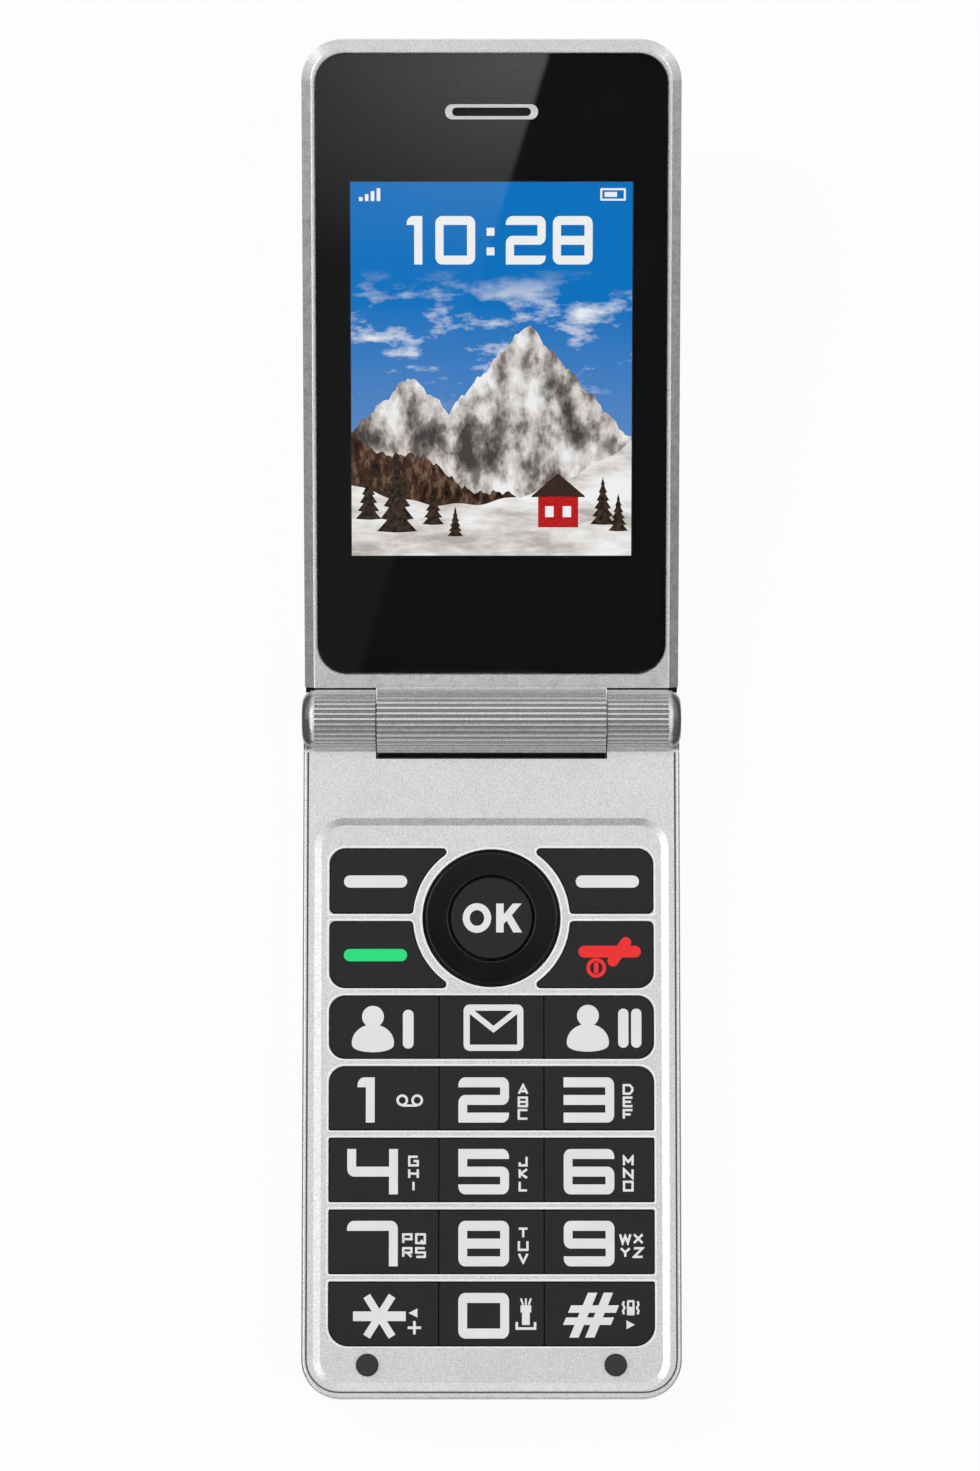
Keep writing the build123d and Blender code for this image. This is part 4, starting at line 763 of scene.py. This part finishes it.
# Small letters on a square cell, in hundredths: strokes between semicolons, a closed one ends with o.
LETTERS = {
    "A": "0,0 50,100 100,0; 22,30 78,30", "B": "0,0 0,100 95,100 95,0 o; 0,50 95,50",
    "C": "100,100 0,100 0,0 100,0", "D": "0,0 0,100 70,100 100,65 100,35 70,0 o",
    "E": "100,100 0,100 0,0 100,0; 0,50 85,50", "F": "100,100 0,100 0,0; 0,50 80,50",
    "G": "100,100 0,100 0,0 100,0 100,50 50,50", "H": "0,0 0,100; 100,0 100,100; 0,50 100,50",
    "I": "50,0 50,100", "J": "90,100 90,0 10,0 10,35",
    "K": "10,0 10,100; 95,100 20,50 95,0", "L": "10,100 10,0 95,0", "M": "0,0 0,100 50,40 100,100 100,0",
    "N": "0,0 0,100 100,0 100,100", "O": "0,0 0,100 100,100 100,0 o", "P": "0,0 0,100 95,100 95,45 0,45",
    "Q": "0,0 0,100 100,100 100,0 o; 55,35 95,-15", "R": "0,0 0,100 95,100 95,50 0,50; 45,50 95,0",
    "S": "100,100 0,100 0,50 100,50 100,0 0,0", "T": "0,100 100,100; 50,100 50,0", "U": "0,100 0,0 100,0 100,100",
    "V": "0,100 50,0 100,100", "W": "-10,100 20,0 50,80 80,0 110,100", "X": "0,0 100,100; 0,100 100,0",
    "Y": "0,100 50,50 100,100; 50,50 50,0", "Z": "0,100 100,100 0,0 100,0",
}
LETTER_STROKE = 0.36
LETTER_CORNER = 0.08
LETTER_PITCH = 1.92  # between stacked letters
PAIR_PITCH = (2.0, 2.12)  # between letters set two by two
DIGIT_LEFT = (-5.45, -5.1, -5.65)
ONE_SHIFT = 1.55  # the digit one stands this much further right
DIGIT_DOWN = 0.27  # digits sit this much below the middle of their keys
STACK_X = (4.75, 4.87, 4.3)
STACK_DOWN, PAIR_UP = 0.3, 0.75  # from the digit's middle
PAIR_X = (3.85, 0, 3.8)  # left letters of a pair
DIGIT_LETTERS = {"2": "ABC", "3": "DEF", "4": "GHI", "5": "JKL", "6": "MNO", "7": "PQRS", "8": "TUV", "9": "WXYZ"}


def digit_strokes(digit, left, bottom, width, height, upright, level):
    """Strokes of a digit on its lattice; they are drawn with one width and then stretched along y."""
    stretch = level / upright
    half, inner = upright / 2, upright * 0.96
    columns = {"a": 0, "l": half, "m": inner, "n": width - inner, "r": width - half, "b": width}
    tall = height / stretch
    rows = (0, half, tall / 2, tall - half, tall)
    strokes = []
    for stroke in DIGITS[digit]:
        stations, corners, start, end = (*stroke, "", "", "")[:4]
        points = [(columns[column], rows[int(row)]) for column, row in stations.split()]
        radii = [OUTER_ROUND if corner == "R" else 0 for corner in corners]
        ends = [[OUTER_ROUND if side in mark else 0 for side in "LR"] for mark in (start, end)]
        edges = stroke_edges(points, upright, radii, *ends, start == "ring")
        strokes.append(([edge * (1, stretch) + (left, bottom) for edge in edges], start == "ring"))
    return strokes


def line(points, width, radius=0.0, ring=False, steps=7):
    """Stroke with square ends along a path, with one radius at its corners."""
    return stroke_edges(points, width, [radius] * len(points), closed=ring, steps=steps), ring


def bar(start, end, width):
    """Straight stroke with round ends."""
    radius = width / 2 * 0.98
    return stroke_edges([start, end], width, [], (radius, radius), (radius, radius)), False


def hoop(centre, radius, width, stretch=1.0, count=40):
    """Round or oval ring: its edges are two circles half a width apart."""
    middle, unit = circle(centre, radius, count, stretch), circle((0, 0), 1, count)
    return (middle - unit * width / 2, middle + unit * width / 2), True


def letter_strokes(letter, centre, size):
    """Strokes of a small letter about its middle."""
    cell = size - LETTER_STROKE
    strokes = []
    for path in LETTERS[letter].split(";"):
        marks = path.split()
        ring = marks[-1] == "o"
        places = [[int(number) / 100 for number in mark.split(",")] for mark in marks[:len(marks) - ring]]
        strokes.append(line(np.array(places) * cell + centre - cell / 2, LETTER_STROKE, LETTER_CORNER, ring, 3))
    return strokes


# Marks of the symbols: a kind, its sizes, a colon and its points from the middle of the key, or from the phone's
# middle line for the keys beside the ring.  bar: width, round ends; line: width and corner radius, square ends;
# loop: the same, closed; lean: a line sheared to x + 0.42 (y + 3.6); hoop: radius, width, stretch and point count;
# plate: filled outline; star: filled outline seen from its last point; person: middles of the body and the head.
MARKS = {
    "soft_left": "bar 1.9: -22.85,-0.1 -13.05,-0.1",
    "soft_right": "bar 1.9: 13.05,-0.1 22.85,-0.1",
    "call": "bar 1.9: -22.85,-0.1 -13.05,-0.1",
    "end": "bar 1.82: 13.45,0.45 23.1,0.45; bar 1.66: 21.25,2.55 18.3,-1.7; hoop 1.25 0.55: 16.2,-2.07;"
           "line 0.7: 16.2,-1.25 16.2,-2.9",
    "contact_1": "person: -1.55,-2.44 -1.55,1.59; bar 1.66: 3.9,-3.33 3.9,2.67",
    "message": "loop 0.96 0.95: -3.83,-3.2 4.45,-3.2 4.45,3 -3.83,3; line 0.85: -3.73,2.85 0.31,-0.35 4.35,2.85",
    "contact_2": "person: -1.88,-2.35 -1.86,1.75; bar 1.6: 3.6,-3.2 3.6,2.85; bar 1.6: 5.6,-3.2 5.6,2.85",
    "star": "line 1.48: -4.5,-0.35 3.6,-0.35; line 1.2: -2.4,-3.45 1.5,2.75; line 1.2: -2.4,2.75 1.5,-3.45;"
            "plate: 4,0.15 5.4,-0.55 5.4,0.85; line 0.42: 3.9,-2.1 5.95,-2.1; line 0.42: 4.93,-3.12 4.93,-1.08",
    "hash": "lean 1.44: -4.1,-3.6 -4.1,3.25; lean 1.44: -1.68,-3.6 -1.68,3.25; lean 1.14: -6.6,-1.1 0.75,-1.1;"
            "lean 1.14: -6.6,0.75 0.75,0.75; loop 0.34 0.2: 4.2,-0.05 5.04,-0.05 5.04,1.95 4.2,1.95;"
            "line 0.55: 4.62,-0.05 4.62,1.1; line 0.34 0.1: 3.57,1.95 3.42,1.45 3.67,0.95 3.42,0.45 3.57,-0.05;"
            "line 0.34 0.1: 5.67,1.95 5.82,1.45 5.57,0.95 5.82,0.45 5.67,-0.05;"
            "plate: 5.25,-1.65 3.95,-0.95 3.95,-2.35",
    "ok": "hoop 1.66 1.08 1.06 48: -2.25,0;"
          "star: 0.72,-2.25 1.88,-2.25 1.88,-0.95 2.35,-0.42 3.38,-2.25 4.75,-2.25 3.15,0.42 4.68,2.25"
          " 3.3,2.25 1.88,0.55 1.88,2.25 0.72,2.25 2,0",
    "1": "hoop 0.72 0.38 1 24: 3,-0.32; hoop 0.72 0.38 1 24: 5.3,-0.32; line 0.36: 3,-1.14 5.3,-1.14",
    "0": "line 0.3: 4.86,1.38 4.5,2.38; line 0.3: 5.28,1.38 5.28,2.38; line 0.3: 5.7,1.38 6.06,2.38;"
         "line 1.1: 4.46,0.78 6.1,0.78; line 1.2: 5.28,0.33 5.28,-1.67;"
         "line 0.4: 3.88,-1.22 3.88,-2.22 6.68,-2.22 6.68,-1.22",
}
TINTS = {"call": "legend_green", "end": "legend_red"}
LEAN, LEAN_FOOT = 0.42, -3.6
HEAD_RADIUS, BODY_HALF = 1.7, 3.26
SHOULDERS, CHEST, CHEST_POWER = 2.85, 1.45, 0.7


class Legend:
    """Strokes and plates of one key's legend, placed from the middle of the key."""

    def __init__(self, key, sizes):
        low, high = box_mm(f"key_{key}")
        self.key = key
        self.middle = (low[:2] + high[:2]) / 2 * (key not in SIDE_KEYS, 1)
        self.high = KEY_TOP + sizes.legend_rise / MM
        self.bevel = sizes.legend_bevel / MM
        self.shells = []

    def levels(self):
        return KEY_TOP - SUNK, self.high + STEP * len(self.shells) % (8 * STEP), self.bevel

    def add(self, *strokes):
        for edges, ring in strokes:
            self.shells.append(stroke_shell([edge + self.middle for edge in edges], *self.levels(), ring))

    def plate(self, outline, centre=None):
        centre = None if centre is None else self.middle + centre
        self.shells.append(mound_shell(self.middle + outline, *self.levels(), centre))

    def person(self, body, head):
        """Head and shoulders: a disc over a half oval whose lower edge is flatter, y = -chest |sin|^power."""
        self.plate(circle(head, HEAD_RADIUS, 36))
        cosine, sine = circle((0, 0), 1, 48).T
        y = np.where(sine > 0, SHOULDERS * sine, -CHEST * np.abs(sine) ** CHEST_POWER)
        self.plate(body + np.stack((BODY_HALF * cosine, y), axis=1), body)

    def draw(self, marks):
        """Strokes and plates of a row of marks."""
        for mark in marks.split(";"):
            head, tail = mark.split(":")
            kind, *sizes = head.split()
            sizes = [float(size) for size in sizes]
            points = np.array([[float(number) for number in pair.split(",")] for pair in tail.split()])
            if kind == "bar":
                self.add(bar(*points, *sizes))
            elif kind in ("line", "loop", "lean"):
                edges, ring = line(points, *sizes, ring=kind == "loop")
                if kind == "lean":
                    edges = [edge + np.outer(LEAN * (edge[:, 1] - LEAN_FOOT), (1, 0)) for edge in edges]
                self.add((edges, ring))
            elif kind == "hoop":
                self.add(hoop(points[0], *sizes[:3], count=int(sizes[3]) if sizes[3:] else 40))
            elif kind == "person":
                self.person(*points)
            elif kind == "star":
                self.plate(points[:-1], points[-1])
            else:
                self.plate(points)

    def make(self):
        """Write the legend as a piece that rides on its key."""
        finish = TINTS.get(self.key, "legend_white")
        make_piece(f"legend_{self.key}", self.shells, bpy.data.materials[finish], f"key_{self.key}")


class PHONE_OT_legend_colours(bpy.types.Operator):
    """White, green and red legend plastics"""

    bl_idname = "phone.legend_colours"
    bl_label = "Legend colours"

    def execute(self, context):
        _, colours = settings(context)
        for name in ("legend_white", "legend_green", "legend_red"):
            moulded(name, getattr(colours, name), 0.4, grain=0.3, depth=0.002, specular=0.25, variation=0.03)
        return {"FINISHED"}


class PHONE_OT_digits(bpy.types.Operator):
    """Large digits and small letters of the number keys"""

    bl_idname = "phone.digits"
    bl_label = "Digits"

    def execute(self, context):
        sizes, _ = settings(context)
        height, upright, level = sizes.digit_height / MM, sizes.digit_upright / MM, sizes.digit_level / MM
        for column, digit in [place for row in KEY_ROWS[1:] for place in enumerate(row)]:
            if digit not in DIGITS:
                continue
            legend = Legend(digit, sizes)
            width = NARROW_DIGIT if digit == "1" else sizes.digit_width / MM
            left = DIGIT_LEFT[column] + (ONE_SHIFT if digit == "1" else 0)
            legend.add(*digit_strokes(digit, left, -DIGIT_DOWN - height / 2, width, height, upright, level))
            letters = DIGIT_LETTERS.get(digit, "")
            for index, letter in enumerate(letters):
                if len(letters) == 3:
                    centre = (STACK_X[column], -DIGIT_DOWN - STACK_DOWN + (1 - index) * LETTER_PITCH)
                else:
                    centre = (PAIR_X[column] + index % 2 * PAIR_PITCH[0],
                              -DIGIT_DOWN + PAIR_UP - index // 2 * PAIR_PITCH[1])
                legend.add(*letter_strokes(letter, centre, sizes.letter_size / MM))
            if digit in MARKS:
                legend.draw(MARKS[digit])
            legend.make()
        return {"FINISHED"}


class PHONE_OT_symbols(bpy.types.Operator):
    """Symbols of the function keys, the star and the hash"""

    bl_idname = "phone.symbols"
    bl_label = "Symbols"

    def execute(self, context):
        sizes, _ = settings(context)
        for name in MARKS:
            if name not in DIGITS:
                legend = Legend(name, sizes)
                legend.draw(MARKS[name])
                legend.make()
        return {"FINISHED"}


# ---- lit picture
LAYER = 0.012  # each layer of the picture lies this much above the one behind
TREES = ((-19.0, 31.2, 7.6), (-14.6, 29.2, 11.8), (-9.0, 30.4, 6.4), (-5.6, 28.6, 4.6), (17.2, 30.4, 7.4),
         (19.6, 29.4, 5.8))  # middle, foot and height of each fir
CLOCK_LEFT, CLOCK_WIDTH = (-13.0, -8.6, 2.2, 9.4), (2.4, 6.1, 6.1, 6.1)  # of its four digits
CLOCK_FOOT, CLOCK_TALL = 70.6, 7.4
CLOCK_STROKES = (1.25, 1.35)  # widths of upright and level strokes
TOP_LAYER = 9  # of the clock and the icons


def field_shell(high_edge, low_edge, layer):
    """Flat field between two edges that share their places along x: its section is a thin rectangle."""
    top = LCD_TOP + LAYER * (layer + 1)
    return swept_shell([(high_edge, LCD_TOP), (high_edge, top), (low_edge, top), (low_edge, LCD_TOP)])


def ridge_field(half, shape, floor, layer, count=90):
    """Field under a ridge line: its upper edge is shape(x), its lower edge stays at the floor."""
    x = np.linspace(-half, half, count)
    return field_shell(np.stack((x, shape(x)), axis=1), np.stack((x, np.full(count, floor)), axis=1), layer)


def far_range(x):
    """Snowy peaks: the higher of two tents with a little roughness on their sides."""
    rough = 0.35 * np.sin(2.1 * x) + 0.22 * np.sin(5.3 * x + 1) + 0.12 * np.sin(11.7 * x)
    return np.maximum(61.5 - 1.12 * np.abs(x - 5.5), 53.5 - 0.95 * np.abs(x + 12.5)) + rough


def near_ridge(x):
    """Wooded ridge that falls to the right: a line with long and short waves."""
    return 44.5 - 0.42 * (x + 21.6) + 1.1 * np.sin(0.45 * x) + 0.3 * np.sin(2.9 * x) + 0.22 * np.sin(7.1 * x)


def meadow(x):
    """Snow field in front: a shallow bowl."""
    return 33.5 + 0.013 * (x + 6) ** 2 + 0.25 * np.sin(0.9 * x)


def fir_shell(x, foot, tall):
    """Fir: half width grows down the tree with a saw of branches, w = 0.28 t (0.55 + 0.45 saw(6 t / tall))."""
    down = np.linspace(0, 1, 61)
    half = 0.28 * tall * down * (0.55 + 0.45 * ((6 * down) % 1)) + 0.03
    half[-1] = 0.35
    height = foot + tall * (1 - down)
    return field_shell(np.stack((x - half, height), axis=1), np.stack((x + half, height), axis=1), 5)


def clock_strokes():
    """Digits and colon of the clock, across the sky."""
    strokes = []
    for digit, left, width in zip("1028", CLOCK_LEFT, CLOCK_WIDTH):
        strokes += digit_strokes(digit, left, CLOCK_FOOT, width, CLOCK_TALL, *CLOCK_STROKES)
    return strokes + [line([(-0.75, height), (0.45, height)], 1.2) for height in (72.6, 75.6)]


def icon_strokes(half, high):
    """Four signal bars on the left and a battery on the right."""
    bars = [line([(-half + 1.6 + 0.9 * bar, high - 2.9), (-half + 1.6 + 0.9 * bar, high - 2.3 + 0.45 * bar)], 0.55)
            for bar in range(4)]
    right, left, low, top = half - 1.2, half - 4.8, high - 2.7, high - 1.1
    return bars + [line([(left, low), (right, low), (right, top), (left, top)], 0.3, 0.15, True),
                   line([(left + 0.5, high - 1.9), (right - 1.2, high - 1.9)], 0.75)]


def top_strokes(strokes):
    """Strokes of the clock and the icons, as thin plates in front of the landscape."""
    top = LCD_TOP + LAYER * (TOP_LAYER + 1)
    return [stroke_shell(edges, LCD_TOP, top + 0.002 * index, 0.005, ring)
            for index, (edges, ring) in enumerate(strokes)]


class PHONE_OT_picture(bpy.types.Operator):
    """Generic landscape on the display, with a clock and small icons above it"""

    bl_idname = "phone.picture"
    bl_label = "Picture"

    half_width: length("Half width", "Half the lit width", 21.6)
    low: length("Lower edge", "Up from the hinge axis", 25.6)
    high: length("Upper edge", "Up from the hinge axis", 83.2)

    def execute(self, context):
        _, colours = settings(context)
        half, low, high = self.half_width / MM, self.low / MM, self.high / MM
        white = lit("picture_white", colours.picture_white)
        fields = (
            ("peaks", far_range, 2, [(0.36, (0.07, 0.06, 0.06)), (0.44, (0.24, 0.21, 0.19)),
                                     (0.52, (0.62, 0.58, 0.54)), (0.62, (0.93, 0.93, 0.93))],
             4.5, 6.0, (1.0, 0.55, 1.0)),
            ("ridge", near_ridge, 3, [(0.34, (0.010, 0.006, 0.005)), (0.5, (0.055, 0.028, 0.018)),
                                      (0.66, (0.22, 0.13, 0.085))], 1.5, 6.0, (1.4, 0.6, 1.0)),
            ("snow", meadow, 4, [(0.38, (0.50, 0.46, 0.43)), (0.5, (0.80, 0.77, 0.74)),
                                 (0.6, (0.95, 0.95, 0.95))], 6.0, 5.0, (0.5, 1.6, 1.0)),
        )
        layers = [("sky", [ridge_field(half, lambda x: np.full_like(x, high), low, 0, 2)],
                   lit_sky("picture_sky", colours.picture_blue, colours.picture_white))]
        layers += [(name, [ridge_field(half, shape, low, layer)], lit_blend(f"picture_{name}", *pattern))
                   for name, shape, layer, *pattern in fields]
        layers += [
            ("trees", [fir_shell(*tree) for tree in TREES],
             lit_blend("picture_trees", [(0.35, (0.008, 0.006, 0.005)), (0.65, (0.07, 0.045, 0.03))], 0.7)),
            ("hut_walls", [field_shell([(7.2, 35.2), (13.4, 35.2)], [(7.2, 30.0), (13.4, 30.0)], 6)],
             lit("picture_red", (0.62, 0.018, 0.02), contrast=0.3)),
            ("hut_roof", [field_shell([(6.2, 34.9), (10.3, 38.4), (14.4, 34.9)],
                                      [(6.2, 34.7), (10.3, 34.8), (14.4, 34.7)], 7)],
             lit("picture_roof", (0.055, 0.03, 0.022), contrast=0.3)),
            ("hut_panes", [small_plate(x, x + 1.3, 31.6, 33.3, LCD_TOP, LCD_TOP + 8 * LAYER, 0.002)
                           for x in (8.3, 11.0)], white),
            ("clock", top_strokes(clock_strokes()), white),
            ("icons", top_strokes(icon_strokes(half, high)), white),
        ]
        for name, shells, finish in layers:
            make_piece(f"picture_{name}", shells, finish, "lid")
        return {"FINISHED"}


# ---- stage
TENT_X, TENT_Y, TENT_TOP = 0.62, (-0.9, 0.66), 1.0  # metres, as all of the stage
TENT_FOOT = 0.002
ROOF_FRONT, ROOF_BACK = 0.36, 0.96  # levels of the roof's two ends
WALL_DIM, WALL_BRIGHT = 0.06, 0.55  # levels of a wall's dim and bright part
FLAG_LEVEL = 0.08  # dark cards that lie beside the phone
FLAG_X, FLAG_Y, FLAG_Z = (0.036, 0.30), (-0.10, 0.21), 0.001
FLOOR_GLOW = 0.93  # share of the floor that shows plain white
FLOOR_HALF = 3.0
WORLD_LEVEL = 0.36  # of the background, where it only lights
BAR = (-0.59, 0.5, 0.04, 0.03)  # patches of the roof: middle y, half x, half y, soft edge
LID_FLAG, RING_FLAG = (-0.285, 0.075, 0.155, 0.05), (0.095, 0.030, 0.030, 0.035)
WEDGE_SLOPE, WEDGE_TIP = 0.29, 0.163
LAMPS = (("key_light", (-0.50, 0.35, 0.65), 0.5, 4.2), ("fill_light", (0.55, -0.15, 0.65), 0.6, 2.6))
AIM = Vector((0, 0.05, 0))  # the lamps point here
LENS, SENSOR = 126.0, 36.0  # millimetres
VIEW_RIGHT, VIEW_UP = -0.00023, -0.00241  # the camera's axis passes the hinge axis this far off


def sheet(scene, name, corners, material, reflected_only=False):
    """Flat card of the stage; reflections and clear pieces alone may see it."""
    mesh = bpy.data.meshes.new(name)
    mesh.from_pydata(corners, [], [(0, 1, 2, 3)])
    mesh.materials.append(material)
    card = bpy.data.objects.new(name, mesh)
    card.visible_camera = card.visible_diffuse = card.visible_shadow = not reflected_only
    scene.collection.objects.link(card)


def make_world(scene):
    """White background for the camera and reflections, and a softer light on the object."""
    scene.world = bpy.data.worlds.new("studio")
    scene.world.use_nodes = True
    graph = Graph(scene.world.node_tree)
    background = graph.tree.nodes["Background"]
    graph.put(background.inputs["Color"], (1, 1, 1, 1))
    graph.put(background.inputs["Strength"], graph.seen_directly().run(WORLD_LEVEL, 1.0, 0.0, 1.0))


def make_floor(scene):
    """Pale floor that looks white and keeps a soft shadow."""
    look = Finish("floor_white")
    look.done(Base_Color=(0.85, 0.85, 0.85, 1), Roughness=0.9, Specular_IOR_Level=0.1)
    share = look.seen_directly().run(0.0, FLOOR_GLOW, 0.0, 1.0)
    glow = look.node("Emission", {}, "Emission")
    matt = Value(look, look.shader.outputs["BSDF"])
    look.surface(look.node("MixShader", {0: share, 1: matt, 2: glow}, "Shader"))
    half = FLOOR_HALF
    sheet(scene, "floor", [(-half, -half, 0), (half, -half, 0), (half, half, 0), (-half, half, 0)], look.material)


def emission_card(scene, name, corners, level):
    """Card that glows; level(x, y, z) gives its strength from the place on it, in metres."""
    look = Finish(name)
    look.tree.nodes.remove(look.shader)
    look.surface(look.node("Emission", {"Strength": level(*look.axes())}, "Emission"))
    sheet(scene, name, corners, look.material, reflected_only=True)


def patch(x, y, middle_y, half_x, half_y, soft):
    """1 inside a rectangle of the roof and 0 outside it, with soft edges."""
    return abs(x).run(1.0, 0.0, half_x, half_x + soft) * abs(y - middle_y).run(1.0, 0.0, half_y, half_y + soft)


def roof_level(x, y, z):
    """Bright cloth that dims to the front, with a bar, two dark flags and a soft wedge on the first flag."""
    cloth = y.run(ROOF_FRONT, ROOF_BACK, -0.6, 0.15) * y.run(1.0, 0.3, 0.22, 0.5)
    cloth = (cloth + patch(x, y, *BAR)) * y.run(0.1, 1.0, -0.76, -0.64)
    dark = patch(x, y, *LID_FLAG).math("MAXIMUM", patch(x, y, *RING_FLAG))
    lean = (y + WEDGE_TIP) * WEDGE_SLOPE - x
    glow = y.run(0.0, 1.0, -0.235, -0.165) * lean.run(1.0, 0.35, -0.01, 0.07) * 0.85 + 0.06
    wedge = glow * lean.run(0.0, 1.0, -0.0205, -0.0185) * y.run(1.0, 0.0, -0.13, -0.10)
    return cloth * (1.0 - dark) + wedge + 0.02


def wall_level(wide, strip):
    """Level of a wall: dim below, a wide bright band above it, and a stronger strip inside the band."""
    def level(x, y, z):
        band = y.run(WALL_DIM, WALL_BRIGHT, 0.06, 0.10) + z.run(0.0, wide, 0.40, 0.52)
        return band * z.run(1.0, 0.6, 0.82, 1.0) + abs(z - 0.62).run(strip, 0.0, 0.05, 0.09)
    return level


def front_level(x, y, z):
    """Level of the front wall: bright below and dark above."""
    return z.run(WALL_BRIGHT, WALL_DIM, 0.64, 0.78)


def make_tent(scene):
    """Light tent seen only in reflections: a roof over the camera, four walls and two dark flags on the floor."""
    x, (low, high), top = TENT_X, TENT_Y, TENT_TOP
    emission_card(scene, "tent_roof", [(-x, low, top), (-x, high, top), (x, high, top), (x, low, top)], roof_level)
    corners = [(-x, low), (x, low), (x, high), (-x, high), (-x, low)]
    walls = (("front", front_level), ("right", wall_level(1.0, 0.3)), ("back", wall_level(0.35, 0.2)),
             ("left", wall_level(1.1, 1.7)))
    for (name, level), begin, end in zip(walls, corners, corners[1:]):
        places = [(*begin, TENT_FOOT), (*end, TENT_FOOT), (*end, top), (*begin, top)]
        emission_card(scene, f"tent_{name}", places, level)
    (near, far), (front, back) = FLAG_X, FLAG_Y
    for name, side in (("flag_left", -1), ("flag_right", 1)):
        places = [(side * a, b, FLAG_Z) for a, b in ((near, front), (far, front), (far, back), (near, back))]
        emission_card(scene, f"tent_{name}", places, lambda x, y, z: FLAG_LEVEL)


def area_light(scene, name, place, size, power):
    """Soft square lamp aimed at the phone."""
    data = bpy.data.lights.new(name, "AREA")
    data.shape = "RECTANGLE"
    data.size = data.size_y = size
    data.energy = power
    lamp = bpy.data.objects.new(name, data)
    lamp.location = place
    lamp.rotation_euler = (AIM - Vector(place)).to_track_quat("-Z", "Y").to_euler()
    lamp.visible_glossy = False
    scene.collection.objects.link(lamp)


def make_camera(scene, sizes):
    """Camera above the hinge, with its axis a little below and left of it."""
    data = bpy.data.cameras.new("camera")
    data.lens, data.sensor_width, data.clip_start = LENS, SENSOR, 0.01
    camera = bpy.data.objects.new("camera", data)
    elevation = sizes.camera_elevation
    back = Vector((0, -math.cos(elevation), math.sin(elevation)))
    upward = Vector((0, math.sin(elevation), math.cos(elevation)))
    centre = HINGE * MM + upward * VIEW_UP + Vector((VIEW_RIGHT, 0, 0))
    camera.location = centre + back * sizes.camera_distance
    camera.rotation_mode = "QUATERNION"
    camera.rotation_quaternion = (-back).to_track_quat("-Z", "Y")
    scene.collection.objects.link(camera)
    scene.camera = camera
    scene.view_settings.view_transform = "Standard"


class PHONE_OT_stage(bpy.types.Operator):
    """Pale floor, soft lights, white world and the camera"""

    bl_idname = "phone.stage"
    bl_label = "Stage"

    def execute(self, context):
        scene = context.scene
        make_world(scene)
        make_floor(scene)
        make_tent(scene)
        for lamp in LAMPS:
            area_light(scene, *lamp)
        make_camera(scene, settings(context)[0])
        return {"FINISHED"}


# ---- add-on
OPERATORS = (
    PHONE_OT_shells, PHONE_OT_key_caps, PHONE_OT_window, PHONE_OT_inner_works, PHONE_OT_legend_colours,
    PHONE_OT_panel_edges, PHONE_OT_digits, PHONE_OT_symbols, PHONE_OT_picture, PHONE_OT_stage,
)


class PHONE_PT_looks(bpy.types.Panel):
    """Lists the steps that dress the phone"""

    bl_idname = "PHONE_PT_looks"
    bl_label = "Flip phone"
    bl_space_type = "VIEW_3D"
    bl_region_type = "UI"
    bl_category = "Phone"

    def draw(self, context):
        for step in OPERATORS:
            self.layout.operator(step.bl_idname)
        for group in settings(context):
            for name in group.bl_rna.properties.keys():
                if name not in ("rna_type", "name"):
                    self.layout.prop(group, name)


CLASSES = (PhoneSizes, PhoneColours) + OPERATORS + (PHONE_PT_looks,)


def register():
    for item in CLASSES:
        bpy.utils.register_class(item)
    bpy.types.Scene.phone_sizes = PointerProperty(type=PhoneSizes)
    bpy.types.Scene.phone_colours = PointerProperty(type=PhoneColours)


def unregister():
    del bpy.types.Scene.phone_colours
    del bpy.types.Scene.phone_sizes
    for item in reversed(CLASSES):
        bpy.utils.unregister_class(item)


def main():
    """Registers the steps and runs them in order."""
    register()
    for step in OPERATORS:
        group, name = step.bl_idname.split(".")
        getattr(getattr(bpy.ops, group), name)()


if __name__ == "__main__":
    main()
